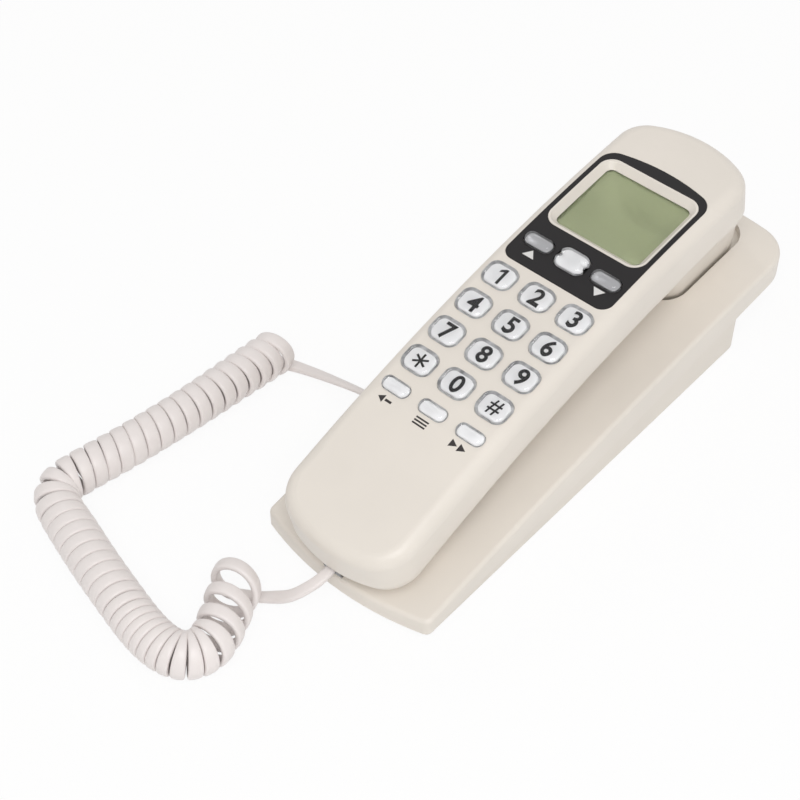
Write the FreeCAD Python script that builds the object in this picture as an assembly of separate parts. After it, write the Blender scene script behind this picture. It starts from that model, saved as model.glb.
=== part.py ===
"""Slim corded desk telephone: a handset with keys and display lies on a wedge base, joined by a curly cord.

Millimetres, +Z up. X runs across the phone and +Y points from the mouthpiece end to the earpiece end.
The origin lies on the table, under the middle of the phone. The handset is drawn in its own frame, where
the keypad is level, and is then tilted onto the base.
"""
import FreeCAD
import Part
import math
import os
from FreeCAD import Placement, Rotation, Vector

# Base outline
BASE_HALF_WIDTH = 35.7
BASE_NEAR = -104.2
BASE_FAR = 109.5
BASE_NEAR_BOW = 5.4
BASE_FAR_BOW = 3.5
BASE_NEAR_CORNER = 3.0
BASE_FAR_CORNER = 15.0
BASE_WALL = 2.4
BASE_EDGE_ROUND = 1.6

# Base heights above the table
BASE_TOP_NEAR = 8.0
BASE_TOP_MIDDLE = 22.4
BASE_TOP_FAR = 29.0
PARTING_NEAR = 1.8
PARTING_FAR = 20.4

# Lower shell of the base
FOOT_HEIGHT = 0.8
TUB_INSET = 0.8
TUB_FAR = 80.5
TUB_FAR_CORNER = 6.0
FLOOR_THICKNESS = 2.4
LID_THICKNESS = 1.8
SHELL_CLEARANCE = 0.2

# Rubber feet and housing screws
FOOT_RADIUS = 5.0
FOOT_POCKET = 0.6
FOOT_SIDE_INSET = 9.2
FOOT_NEAR_INSET = 13.7
FOOT_FAR_INSET = 10.0
BASE_SCREW_SIDE_INSET = 9.7
BASE_SCREW_NEAR_INSET = 27.7
BASE_SCREW_FAR_INSET = 23.0
SCREW_RADIUS = 1.25
SCREW_LENGTH = 6.5
SCREW_HEAD_RADIUS = 2.5
SCREW_HEAD_HEIGHT = 1.2
SCREW_SLOT_WIDTH = 0.6
SCREW_SLOT_DEPTH = 0.6
SCREW_HOLE_CLEARANCE = 0.25
SCREW_THREAD_CLEARANCE = 0.05
SCREW_HEAD_SINK = 0.2
BOSS_RADIUS = 3.2

# Parts inside the base
BOARD_THICKNESS = 1.6
BASE_BOARD_SIDE_INSET = 14.7
BASE_BOARD_NEAR = -10.5
BASE_BOARD_FAR_INSET = 4.0
BASE_BOARD_Z = 6.0
BOARD_POST_RADIUS = 2.2
BOARD_POST_INSET = 4.0
SOUNDER_RADIUS = 13.0
SOUNDER_HEIGHT = 4.0
SOUNDER_Y = -48.5
SOUND_HOLE_RADIUS = 1.0
SOUND_HOLE_SPACING = 4.2
SOUND_HOLE_RING = 6

# Hook switch
HOOK_Y = 62.5
HOOK_RADIUS = 4.0
HOOK_TRAVEL = 4.0
HOOK_CLEARANCE = 0.4
HOOK_TIP_GAP = 0.5
HOOK_FLANGE_RADIUS = 5.6
HOOK_FLANGE_HEIGHT = 1.5
HOOK_TIP_ROUND = 1.0
SWITCH_WIDTH = 8.0
SWITCH_LENGTH = 13.0
SWITCH_HEIGHT = 6.0
RUNNING_GAP = 0.3

# Telephone sockets and plugs
LINE_SOCKET_WIDTH = 9.8
LINE_SOCKET_HEIGHT = 6.8
LINE_SOCKET_DEPTH = 12.0
LINE_SOCKET_X = -14.0
LINE_SOCKET_WALL = 1.2
CORD_PLUG_WIDTH = 7.6
CORD_PLUG_HEIGHT = 5.7
CORD_PLUG_LENGTH = 13.0
CORD_PLUG_PROUD = 1.0
CORD_SOCKET_DEPTH = 12.5
CORD_SOCKET_WALL = 0.6
PLUG_CLEARANCE = 0.15
PLUG_END_ROOM = 1.0
LATCH_START = 0.25
LATCH_END = 0.8
LATCH_GROOVE_DEPTH = 1.4
LATCH_SIDE_GAP = 0.6
LATCH_THICKNESS = 0.9
BASE_SOCKET_Y = -39.5
BASE_SOCKET_Z = 10.7

# Handset frame
KEYPAD_Y = -23.7
KEYPAD_Z = 56.4
HANDSET_TILT = 12.1
FACE_RADIUS = 630.0

# Handset shells
HANDSET_HALF_WIDTH = 26.0
HANDSET_NEAR = -90.0
HANDSET_FAR = 115.5
HANDSET_NEAR_BOW = 7.0
HANDSET_FAR_BOW = 9.0
HANDSET_NEAR_CORNER = 15.0
HANDSET_FAR_CORNER = 13.0
FRONT_DEPTH = 15.0
GRIP_DEPTH = 23.0
HANDSET_WALL = 2.4
FACE_EDGE_ROUND = 5.0
GRIP_EDGE_ROUND = 4.0
BACK_INSET = 1.5

# Earpiece cup and mouthpiece cup, each from a section in the handset to a section on the base
EAR_TOP_V = 86.5
EAR_TOP_N = -21.0
EAR_TOP_HALF_WIDTH = 23.6
EAR_TOP_HALF_LENGTH = 26.5
EAR_TOP_CORNER = 11.0
EAR_FOOT_Y = 78.0
EAR_FOOT_HALF_WIDTH = 16.8
EAR_FOOT_HALF_LENGTH = 22.5
EAR_FOOT_CORNER = 9.0
EAR_SINK = 4.0
MOUTH_TOP_V = -67.25
MOUTH_TOP_N = -22.0
MOUTH_TOP_HALF_WIDTH = 22.0
MOUTH_TOP_HALF_LENGTH = 19.25
MOUTH_TOP_CORNER = 9.0
MOUTH_FOOT_Y = -86.2
MOUTH_FOOT_HALF_WIDTH = 16.5
MOUTH_FOOT_HALF_LENGTH = 11.5
MOUTH_FOOT_CORNER = 7.0
MOUTH_SINK = 2.0
CRADLE_GAP = 1.2
CRADLE_FLOOR_GAP = 0.5
CRADLE_WALL = 1.8
CRADLE_FAR_ROOM = 1.5

# Display
PANEL_HALF_WIDTH = 22.3
PANEL_NEAR = 28.9
PANEL_FAR = 92.5
PANEL_FAR_BOW = 3.5
PANEL_NEAR_CORNER = 4.5
PANEL_FAR_CORNER = 6.5
PANEL_THICKNESS = 1.0
PANEL_CLEARANCE = 0.1
DISPLAY_CENTRE = 68.5
BEZEL_HALF_WIDTH = 20.5
BEZEL_HALF_LENGTH = 19.2
BEZEL_CORNER = 5.5
WINDOW_HALF_WIDTH = 17.6
WINDOW_HALF_LENGTH = 16.0
WINDOW_CORNER = 2.5
BEZEL_RIM = 0.7
WINDOW_THICKNESS = 0.8
WINDOW_LAP = 1.6
LCD_THICKNESS = 2.8
LCD_LAP = 2.0
DISPLAY_SEAT_GAP = 0.27

# Keys
KEY_COLUMN_PITCH = 15.75
KEY_ROW_PITCH = 14.0
KEY_WIDTH = 12.2
KEY_LENGTH = 10.2
KEY_CORNER = 3.7
KEY_PROUD = 2.0
KEY_EDGE_ROUND = 1.1
KEY_TRAVEL = 1.2
KEY_GAP = 0.35
KEY_FLANGE = 0.9
KEY_FLANGE_INSET = 1.5
KEY_FLANGE_CORNER = 1.0
KEY_FLANGE_HEIGHT = 1.0
KEY_STEM_RADIUS = 2.0
KEY_STEM_LENGTH = 1.0
LOWER_ROW = -33.2
LOWER_KEY_WIDTH = 11.0
LOWER_KEY_LENGTH = 5.4
LOWER_KEY_CORNER = 2.5
UPPER_ROW = 40.1
UPPER_COLUMN_PITCH = 14.2
UPPER_KEY_WIDTH = 11.4
UPPER_KEY_LENGTH = 5.6
UPPER_KEY_CORNER = 2.6
WAIST_KEY_WIDTH = 12.0
WAIST_KEY_LENGTH = 8.6
WAIST_KEY_CORNER = 3.2
WAIST_NOTCH_RADIUS = 2.2
WAIST_NOTCH_DEPTH = 1.2

# Parts inside the handset
HANDSET_BOARD_TOP = -9.2
HANDSET_BOARD_ROOM = 1.2
HANDSET_BOARD_HALF_WIDTH = HANDSET_HALF_WIDTH - HANDSET_WALL - HANDSET_BOARD_ROOM
HANDSET_BOARD_NEAR = -38.0
HANDSET_BOARD_FAR = 47.5
MAT_THICKNESS = 1.2
MAT_INSET = 0.6
DOME_RADIUS = 2.8
POST_RADIUS = 1.2
HANDSET_SCREW_SPREAD = 17.0
HANDSET_SCREW_V = -42.0
HANDSET_SCREW_LENGTH = 13.0
HANDSET_BOSS_RADIUS = 3.0
RECEIVER_RADIUS = 13.0
RECEIVER_HEIGHT = 7.0
GASKET_THICKNESS = 0.8
GASKET_WIDTH = 2.0
MICROPHONE_X = 9.2
MICROPHONE_RADIUS = 3.0
MICROPHONE_HEIGHT = 2.7
BOOT_WALL = 1.0
BOOT_FLOOR = 0.8
HANDSET_SOCKET_N = -24.4
HANDSET_SOCKET_V = -81.5
HANDSET_PLUG_END = -89.0

# Curly cord: drawn with a round wire, coiled left-handed, lying on the table
CORD_DIAMETER = 2.8
COIL_RADIUS = 6.5
CORD_LIFT = 0.1
COIL_ROUTE = [
    (-83.9, -40.4),
    (-88.0, -82.0),
    (-96.8, -142.3),
    (-57.5, -153.4),
    (1.2, -169.0),
    (-23.8, -125.7),
]
COIL_BEND_RADII = [60.0, 12.0, 60.0, 12.5]
COIL_RUN_PITCHES = [4.75, 4.75, 4.5, 4.5, 5.4]
COIL_BEND_PITCHES = [4.75, 7.3, 4.5, 6.9]
COIL_END_LEAN = 7.0
COIL_END_GROWTH = 1.2
COIL_END_TURNS = 5.0
BASE_LEAD_POINTS = [
    (-46.6, -39.5, 10.3),
    (-57.6, -39.6, 7.4),
    (-69.0, -39.7, 3.5),
]
HANDSET_LEAD_POINTS = [
    (-12.8, -121.2, 2.5),
    (-5.8, -119.4, 7.1),
    (-1.3, -113.7, 11.5),
]
LEAD_PLUG_RUN = 3.5
LEAD_COIL_RUN = 4.3
BEND_SHARE = 0.45

# Drawing allowances, well clear of the finished faces
MARGIN = 12.0
DEEP_MARGIN = 48.0
OVERCUT = 1.0
ROUNDING_TOLERANCE = 0.02
LEAST_CORNER = 0.2
EDGE_SHARES = (0.1, 0.5, 0.9)
TURN_STEP = 0.01
POINTS_PER_TURN = 48

os.makedirs("parts", exist_ok=True)


def save(name, shape):
    """Write one piece of the phone."""
    shape.exportStep(os.path.join("parts", name + ".step"))


def line(start, end):
    return Part.LineSegment(start, end).toShape()


def arc(start, middle, end):
    return Part.Arc(start, middle, end).toShape()


def edge_or_arc(start, middle, end):
    """A straight edge where the three points are in line, otherwise an arc through them."""
    if (middle - start).cross(end - start).Length < ROUNDING_TOLERANCE:
        return line(start, end)
    return arc(start, middle, end)


def box(x, y, z):
    """A box from three (low, high) pairs."""
    corner = Vector(x[0], y[0], z[0])
    return Part.makeBox(x[1] - x[0], y[1] - y[0], z[1] - z[0], corner)


def cylinder(radius, x, y, low, high):
    return Part.makeCylinder(radius, high - low, Vector(x, y, low))


def plan_prism(half_width, near, far, near_bow, far_bow, near_corner, far_corner, low, high):
    """An upright block whose plan has bowed ends and rounded corners."""
    near_left = Vector(-half_width, near + near_bow, low)
    near_right = Vector(half_width, near + near_bow, low)
    far_left = Vector(-half_width, far - far_bow, low)
    far_right = Vector(half_width, far - far_bow, low)
    outline = [
        edge_or_arc(near_left, Vector(0, near, low), near_right),
        line(near_right, far_right),
        edge_or_arc(far_right, Vector(0, far, low), far_left),
        line(far_left, near_left),
    ]
    block = Part.Face(Part.Wire(outline)).extrude(Vector(0, 0, high - low))
    for corner_y, radius in ((near + near_bow, near_corner), (far - far_bow, far_corner)):
        upright = [e for e in block.Edges if is_upright_at(e, half_width, corner_y)]
        block = block.makeFillet(radius, upright)
    return block


def is_upright_at(edge, half_width, y):
    ends = [v.Point for v in edge.Vertexes]
    if len(ends) < 2 or abs(ends[0].z - ends[1].z) < ROUNDING_TOLERANCE:
        return False
    at_side = all(abs(abs(p.x) - half_width) < ROUNDING_TOLERANCE for p in ends)
    return at_side and all(abs(p.y - y) < ROUNDING_TOLERANCE for p in ends)


def side_slab(outline, half_width):
    """A block across the phone with the given closed outline in the YZ plane, drawn at X = 0."""
    face = Part.Face(Part.Wire(outline))
    face.translate(Vector(-half_width, 0, 0))
    return face.extrude(Vector(2 * half_width, 0, 0))


def rounded_rectangle(half_width, half_length, corner, height=0.0):
    """A closed wire around the origin in the XY plane."""
    w = half_width - corner
    h = half_length - corner
    diagonal = corner * math.sqrt(0.5)
    edges = []
    for sx, sy, first_on_side in ((1, 1, True), (-1, 1, False), (-1, -1, True), (1, -1, False)):
        on_side = Vector(sx * half_width, sy * h, height)
        on_end = Vector(sx * w, sy * half_length, height)
        middle = Vector(sx * (w + diagonal), sy * (h + diagonal), height)
        ends = (on_side, on_end) if first_on_side else (on_end, on_side)
        edges.append((ends[0], middle, ends[1]))
    outline = []
    for i, (start, middle, end) in enumerate(edges):
        outline.append(arc(start, middle, end))
        outline.append(line(end, edges[(i + 1) % 4][0]))
    return Part.Wire(outline)


def rounded_block(half_width, half_length, corner, low, high):
    wire = rounded_rectangle(half_width, half_length, corner, low)
    return Part.Face(wire).extrude(Vector(0, 0, high - low))


def placed(shape, placement):
    copy = shape.copy()
    copy.Placement = placement.multiply(copy.Placement)
    return copy


# Curves of the base

def circle_through(points):
    """Centre and radius of the circle through three (y, z) points."""
    (ay, az), (by, bz), (cy, cz) = points
    d = 2 * (ay * (bz - cz) + by * (cz - az) + cy * (az - bz))
    a2 = ay * ay + az * az
    b2 = by * by + bz * bz
    c2 = cy * cy + cz * cz
    y = (a2 * (bz - cz) + b2 * (cz - az) + c2 * (az - bz)) / d
    z = (a2 * (cy - by) + b2 * (ay - cy) + c2 * (by - ay)) / d
    return y, z, math.hypot(ay - y, az - z)


BASE_MIDDLE = (BASE_NEAR + BASE_FAR) / 2
BASE_BOARD_HALF_WIDTH = BASE_HALF_WIDTH - BASE_BOARD_SIDE_INSET
BASE_BOARD_FAR = TUB_FAR - BASE_BOARD_FAR_INSET
TOP_ARC = circle_through([
    (BASE_NEAR, BASE_TOP_NEAR), (BASE_MIDDLE, BASE_TOP_MIDDLE), (BASE_FAR, BASE_TOP_FAR)])


def base_top(y):
    return TOP_ARC[1] + math.sqrt(TOP_ARC[2] ** 2 - (y - TOP_ARC[0]) ** 2)


def base_top_tilt(y):
    """Slope angle of the base's top in degrees."""
    return -math.degrees(math.asin((y - TOP_ARC[0]) / TOP_ARC[2]))


def parting(y):
    return PARTING_NEAR + (PARTING_FAR - PARTING_NEAR) * (y - BASE_NEAR) / (BASE_FAR - BASE_NEAR)


def yz(y, z):
    return Vector(0, y, z)


def base_slab(drop_top, rise_parting):
    """Everything between the top arc, lowered, and the parting plane, raised."""
    near = BASE_NEAR - MARGIN
    far = BASE_FAR + MARGIN
    outline = [
        line(yz(near, parting(near) + rise_parting), yz(far, parting(far) + rise_parting)),
        line(yz(far, parting(far) + rise_parting), yz(far, base_top(far) - drop_top)),
        arc(yz(far, base_top(far) - drop_top), yz(BASE_MIDDLE, base_top(BASE_MIDDLE) - drop_top),
            yz(near, base_top(near) - drop_top)),
        line(yz(near, base_top(near) - drop_top), yz(near, parting(near) + rise_parting)),
    ]
    return side_slab(outline, BASE_HALF_WIDTH + MARGIN)


def base_plan(inset, low, high):
    return plan_prism(
        BASE_HALF_WIDTH - inset, BASE_NEAR + inset, BASE_FAR - inset, BASE_NEAR_BOW, BASE_FAR_BOW,
        max(BASE_NEAR_CORNER - inset, LEAST_CORNER), BASE_FAR_CORNER - inset, low, high)


def tub_plan(inset, low, high):
    total = TUB_INSET + inset
    return plan_prism(
        BASE_HALF_WIDTH - total, BASE_NEAR + total, TUB_FAR - inset, BASE_NEAR_BOW, BASE_FAR_BOW,
        max(BASE_NEAR_CORNER - total, LEAST_CORNER), TUB_FAR_CORNER - inset, low, high)


BASE_CEILING = BASE_TOP_FAR + MARGIN


# Curves and frame of the handset

TILT = Rotation(Vector(1, 0, 0), HANDSET_TILT)
HANDSET_PLACE = Placement(Vector(0, KEYPAD_Y, KEYPAD_Z), TILT)


def on_handset(shape):
    return placed(shape, HANDSET_PLACE)


def face_drop(v):
    """How far the bowed face lies below its highest line."""
    return FACE_RADIUS - math.sqrt(FACE_RADIUS ** 2 - v ** 2)


def face_frame(along):
    """Frame on the face at a distance along its arc from the keypad's centre, Z outwards."""
    angle = along / FACE_RADIUS
    place = Vector(0, FACE_RADIUS * math.sin(angle), FACE_RADIUS * (math.cos(angle) - 1))
    return Placement(place, Rotation(Vector(1, 0, 0), -math.degrees(angle)))


def arc_point(v, depth):
    radius = FACE_RADIUS - depth
    return Vector(0, v, math.sqrt(radius ** 2 - v ** 2) - FACE_RADIUS)


def arc_slab(top_depth, bottom_depth):
    """Everything between two depths below the bowed face."""
    near = HANDSET_NEAR - MARGIN
    far = HANDSET_FAR + MARGIN
    outline = [
        arc(arc_point(near, top_depth), arc_point(0, top_depth), arc_point(far, top_depth)),
        line(arc_point(far, top_depth), arc_point(far, bottom_depth)),
        arc(arc_point(far, bottom_depth), arc_point(0, bottom_depth), arc_point(near, bottom_depth)),
        line(arc_point(near, bottom_depth), arc_point(near, top_depth)),
    ]
    return side_slab(outline, HANDSET_HALF_WIDTH + MARGIN)


def edges_at_depth(shape, depth):
    """Edges that lie on the arc surface at this depth below the face."""
    found = []
    for edge in shape.Edges:
        first, last = edge.ParameterRange
        points = [edge.valueAt(first + (last - first) * t) for t in EDGE_SHARES]
        radii = [math.hypot(p.y, p.z + FACE_RADIUS) for p in points]
        if all(abs(r - (FACE_RADIUS - depth)) < ROUNDING_TOLERANCE for r in radii):
            found.append(edge)
    return found


def handset_plan(inset):
    return plan_prism(
        HANDSET_HALF_WIDTH - inset, HANDSET_NEAR + inset, HANDSET_FAR - inset,
        HANDSET_NEAR_BOW, HANDSET_FAR_BOW, HANDSET_NEAR_CORNER - inset, HANDSET_FAR_CORNER - inset,
        -GRIP_DEPTH - DEEP_MARGIN, MARGIN)


def front_block(inset, extra_depth):
    block = handset_plan(inset).common(arc_slab(inset, FRONT_DEPTH + extra_depth))
    return block.makeFillet(FACE_EDGE_ROUND - inset, edges_at_depth(block, inset))


def grip_block(inset, rise):
    """The grip's part of the back shell, below the parting with the front shell."""
    bottom = GRIP_DEPTH - inset
    block = handset_plan(BACK_INSET + inset).common(arc_slab(FRONT_DEPTH - rise, bottom))
    return block.makeFillet(GRIP_EDGE_ROUND - inset, edges_at_depth(block, bottom))


def base_frame(y, sink):
    """Frame on the base's top, sunk along its own normal, given in the handset's frame."""
    turn = Rotation(Vector(1, 0, 0), base_top_tilt(y))
    place = Vector(0, y, base_top(y)) + turn.multVec(Vector(0, 0, -sink))
    return HANDSET_PLACE.inverse().multiply(Placement(place, turn))


def cup(top, foot, grow, foot_rise, far_room=0.0):
    """A tapered cup from a section in the handset to a section sunk in the base, in the handset's frame."""
    top_v, top_n, top_width, top_length, top_corner = top
    foot_y, foot_width, foot_length, foot_corner, sink = foot
    upper = rounded_rectangle(top_width + grow, top_length + grow + far_room, top_corner + grow)
    upper.Placement = Placement(Vector(0, top_v + far_room, top_n), Rotation())
    lower = rounded_rectangle(foot_width + grow, foot_length + grow + far_room, foot_corner + grow)
    seat = base_frame(foot_y, sink - foot_rise)
    lower.Placement = seat.multiply(Placement(Vector(0, far_room, 0), Rotation()))
    return Part.makeLoft([lower, upper], True, True)


EAR_TOP = (EAR_TOP_V, EAR_TOP_N, EAR_TOP_HALF_WIDTH, EAR_TOP_HALF_LENGTH, EAR_TOP_CORNER)
EAR_FOOT = (EAR_FOOT_Y, EAR_FOOT_HALF_WIDTH, EAR_FOOT_HALF_LENGTH, EAR_FOOT_CORNER, EAR_SINK)
MOUTH_TOP = (MOUTH_TOP_V, MOUTH_TOP_N, MOUTH_TOP_HALF_WIDTH, MOUTH_TOP_HALF_LENGTH, MOUTH_TOP_CORNER)
MOUTH_FOOT = (MOUTH_FOOT_Y, MOUTH_FOOT_HALF_WIDTH, MOUTH_FOOT_HALF_LENGTH, MOUTH_FOOT_CORNER, MOUTH_SINK)


def ear_cup(grow, foot_rise, far_room=0.0):
    return cup(EAR_TOP, EAR_FOOT, grow, foot_rise, far_room)


def mouth_cup(grow, foot_rise, far_room=0.0):
    return cup(MOUTH_TOP, MOUTH_FOOT, grow, foot_rise, far_room)


# Base pieces

CRADLES = ((ear_cup, CRADLE_FAR_ROOM), (mouth_cup, 0.0))
BASE_SCREWS = [
    (side * (BASE_HALF_WIDTH - BASE_SCREW_SIDE_INSET), y)
    for y in (BASE_NEAR + BASE_SCREW_NEAR_INSET, TUB_FAR - BASE_SCREW_FAR_INSET) for side in (-1, 1)]
FEET = [
    (side * (BASE_HALF_WIDTH - FOOT_SIDE_INSET), y)
    for y in (BASE_NEAR + FOOT_NEAR_INSET, TUB_FAR - FOOT_FAR_INSET) for side in (-1, 1)]
FLOOR_TOP = FOOT_HEIGHT + FLOOR_THICKNESS
HOOK_FLOOR = base_top(HOOK_Y) - EAR_SINK - CRADLE_FLOOR_GAP
PLUG_HOLE_HALF_WIDTH = CORD_PLUG_WIDTH / 2 + PLUG_CLEARANCE
PLUG_HOLE_HALF_HEIGHT = CORD_PLUG_HEIGHT / 2 + PLUG_CLEARANCE
BASE_PLUG_HOLE = box(
    (-BASE_HALF_WIDTH - MARGIN, -BASE_HALF_WIDTH + MARGIN),
    (BASE_SOCKET_Y - PLUG_HOLE_HALF_WIDTH, BASE_SOCKET_Y + PLUG_HOLE_HALF_WIDTH),
    (BASE_SOCKET_Z - PLUG_HOLE_HALF_HEIGHT, BASE_SOCKET_Z + PLUG_HOLE_HALF_HEIGHT))


def base_top_cover():
    outer = base_plan(0, -MARGIN, BASE_CEILING).common(base_slab(0, 0))
    top_edges = [e for e in outer.Edges if on_base_top(e)]
    solid = outer.makeFillet(BASE_EDGE_ROUND, top_edges)
    cover = solid.cut(base_plan(BASE_WALL, -MARGIN, BASE_CEILING).common(base_slab(BASE_WALL, -MARGIN)))
    for cradle, far_room in CRADLES:
        tub = on_handset(cradle(CRADLE_GAP + CRADLE_WALL, -CRADLE_FLOOR_GAP - CRADLE_WALL, far_room))
        cover = cover.fuse(tub.common(solid))
    for x, y in BASE_SCREWS:
        boss = cylinder(BOSS_RADIUS, x, y, FLOOR_TOP, base_top(y) - BASE_WALL / 2)
        pilot_top = FOOT_HEIGHT + SCREW_LENGTH + OVERCUT
        pilot = cylinder(SCREW_RADIUS + SCREW_THREAD_CLEARANCE, x, y, 0, pilot_top)
        cover = cover.fuse(boss.cut(pilot))
    for cradle, far_room in CRADLES:
        cover = cover.cut(on_handset(cradle(CRADLE_GAP, -CRADLE_FLOOR_GAP, far_room)))
    cover = cover.cut(cylinder(HOOK_RADIUS + HOOK_CLEARANCE, 0, HOOK_Y, 0, BASE_CEILING))
    return cover.cut(BASE_PLUG_HOLE).removeSplitter()


def on_base_top(edge):
    first, last = edge.ParameterRange
    points = [edge.valueAt(first + (last - first) * t) for t in EDGE_SHARES]
    return all(abs(p.z - base_top(p.y)) < ROUNDING_TOLERANCE for p in points)


def base_bottom_shell():
    below = base_slab(0, -DEEP_MARGIN).cut(base_slab(0, 0))
    tub = tub_plan(0, FOOT_HEIGHT, BASE_CEILING).common(below)
    lid_plan = base_plan(BASE_WALL + SHELL_CLEARANCE, -MARGIN, BASE_CEILING)
    lid = lid_plan.common(base_slab(0, 0).cut(base_slab(0, LID_THICKNESS)))
    shell = tub.fuse(lid).cut(tub_plan(BASE_WALL, FLOOR_TOP, BASE_CEILING))
    for x, y in BASE_SCREWS:
        shell = shell.cut(cylinder(SCREW_RADIUS + SCREW_HOLE_CLEARANCE, x, y, 0, FLOOR_TOP + OVERCUT))
        sink = FOOT_HEIGHT + SCREW_HEAD_HEIGHT + SCREW_HEAD_SINK
        shell = shell.cut(cylinder(SCREW_HEAD_RADIUS + SCREW_HOLE_CLEARANCE, x, y, 0, sink))
    for x, y in FEET:
        shell = shell.cut(cylinder(FOOT_RADIUS + SHELL_CLEARANCE, x, y, 0, FOOT_HEIGHT + FOOT_POCKET))
    for x in (-1, 1):
        for y in (BASE_BOARD_NEAR + BOARD_POST_INSET, BASE_BOARD_FAR - BOARD_POST_INSET):
            post_x = x * (BASE_BOARD_HALF_WIDTH - BOARD_POST_INSET)
            shell = shell.fuse(cylinder(BOARD_POST_RADIUS, post_x, y, FLOOR_TOP - OVERCUT, BASE_BOARD_Z))
    for i in range(-1, 2):
        for j in range(-1, 2):
            hole_x = i * SOUND_HOLE_SPACING
            hole_y = SOUNDER_Y + j * SOUND_HOLE_SPACING
            shell = shell.cut(cylinder(SOUND_HOLE_RADIUS, hole_x, hole_y, 0, FLOOR_TOP + OVERCUT))
    half = LINE_SOCKET_WIDTH / 2
    low = line_socket_floor()
    window = box(
        (LINE_SOCKET_X - half, LINE_SOCKET_X + half), (TUB_FAR - MARGIN, TUB_FAR + MARGIN),
        (low, low + LINE_SOCKET_HEIGHT))
    return shell.cut(window).cut(BASE_PLUG_HOLE).removeSplitter()


def line_socket_floor():
    return BASE_BOARD_Z + BOARD_THICKNESS + LINE_SOCKET_WALL


def base_board():
    return box(
        (-BASE_BOARD_HALF_WIDTH, BASE_BOARD_HALF_WIDTH), (BASE_BOARD_NEAR, BASE_BOARD_FAR),
        (BASE_BOARD_Z, BASE_BOARD_Z + BOARD_THICKNESS))


def screw(x, y, head_low, length):
    """Pan-head screw standing on its head."""
    head = cylinder(SCREW_HEAD_RADIUS, x, y, head_low, head_low + SCREW_HEAD_HEIGHT)
    shank = cylinder(SCREW_RADIUS, x, y, head_low, head_low + length)
    slot = box(
        (x - SCREW_HEAD_RADIUS, x + SCREW_HEAD_RADIUS), (y - SCREW_SLOT_WIDTH / 2, y + SCREW_SLOT_WIDTH / 2),
        (head_low - OVERCUT, head_low + SCREW_SLOT_DEPTH))
    return head.fuse(shank).cut(slot).removeSplitter()


def hook_switch():
    top = BASE_BOARD_Z + BOARD_THICKNESS
    return box(
        (-SWITCH_WIDTH / 2, SWITCH_WIDTH / 2), (HOOK_Y - SWITCH_LENGTH / 2, HOOK_Y + SWITCH_LENGTH / 2),
        (top, top + SWITCH_HEIGHT))


def hook_plunger():
    """Button in the earpiece cradle, drawn pressed by the handset."""
    tip = HOOK_FLOOR + CRADLE_FLOOR_GAP - HOOK_TIP_GAP
    foot = BASE_BOARD_Z + BOARD_THICKNESS + SWITCH_HEIGHT + RUNNING_GAP
    flange_top = HOOK_FLOOR - CRADLE_WALL - HOOK_TRAVEL - RUNNING_GAP
    rod = cylinder(HOOK_RADIUS, 0, HOOK_Y, foot, tip)
    rim = [e for e in rod.Edges if abs(e.CenterOfMass.z - tip) < ROUNDING_TOLERANCE]
    rod = rod.makeFillet(HOOK_TIP_ROUND, rim)
    flange = cylinder(HOOK_FLANGE_RADIUS, 0, HOOK_Y, flange_top - HOOK_FLANGE_HEIGHT, flange_top)
    return rod.fuse(flange).removeSplitter()


def line_socket():
    wall = LINE_SOCKET_WALL
    half = LINE_SOCKET_WIDTH / 2
    low = line_socket_floor()
    front = TUB_FAR - BASE_WALL - BASE_FAR_BOW
    body = box(
        (LINE_SOCKET_X - half - wall, LINE_SOCKET_X + half + wall),
        (front - LINE_SOCKET_DEPTH - wall, front),
        (low - wall, low + LINE_SOCKET_HEIGHT + wall))
    return body.cut(box(
        (LINE_SOCKET_X - half, LINE_SOCKET_X + half), (front - LINE_SOCKET_DEPTH, front + OVERCUT),
        (low, low + LINE_SOCKET_HEIGHT)))


def cord_socket():
    """Four-way cord socket in its own frame: mouth at the origin, opening towards -Y."""
    half = PLUG_HOLE_HALF_WIDTH
    rise = PLUG_HOLE_HALF_HEIGHT
    wall = CORD_SOCKET_WALL
    body = box((-half - wall, half + wall), (0, CORD_SOCKET_DEPTH + wall), (-rise - wall, rise + wall))
    return body.cut(box((-half, half), (-OVERCUT, CORD_SOCKET_DEPTH), (-rise, rise)))


def cord_plug(length):
    """Cord plug in its own frame: cord end at the origin, contacts towards +Y, latch on top."""
    half = CORD_PLUG_WIDTH / 2
    rise = CORD_PLUG_HEIGHT / 2
    body = box((-half, half), (0, length), (-rise, rise))
    near = length * LATCH_START
    low = rise - LATCH_GROOVE_DEPTH
    groove = box((-half / 2, half / 2), (near, length + OVERCUT), (low, rise + OVERCUT))
    latch_half = half / 2 - LATCH_SIDE_GAP
    latch = box((-latch_half, latch_half), (near, length * LATCH_END), (low, low + LATCH_THICKNESS))
    return body.cut(groove).fuse(latch).removeSplitter()


BASE_SOCKET_FACE = -(BASE_HALF_WIDTH - BASE_WALL - TUB_INSET)
INTO_BASE = Rotation(Vector(0, 0, 1), -90)


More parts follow.
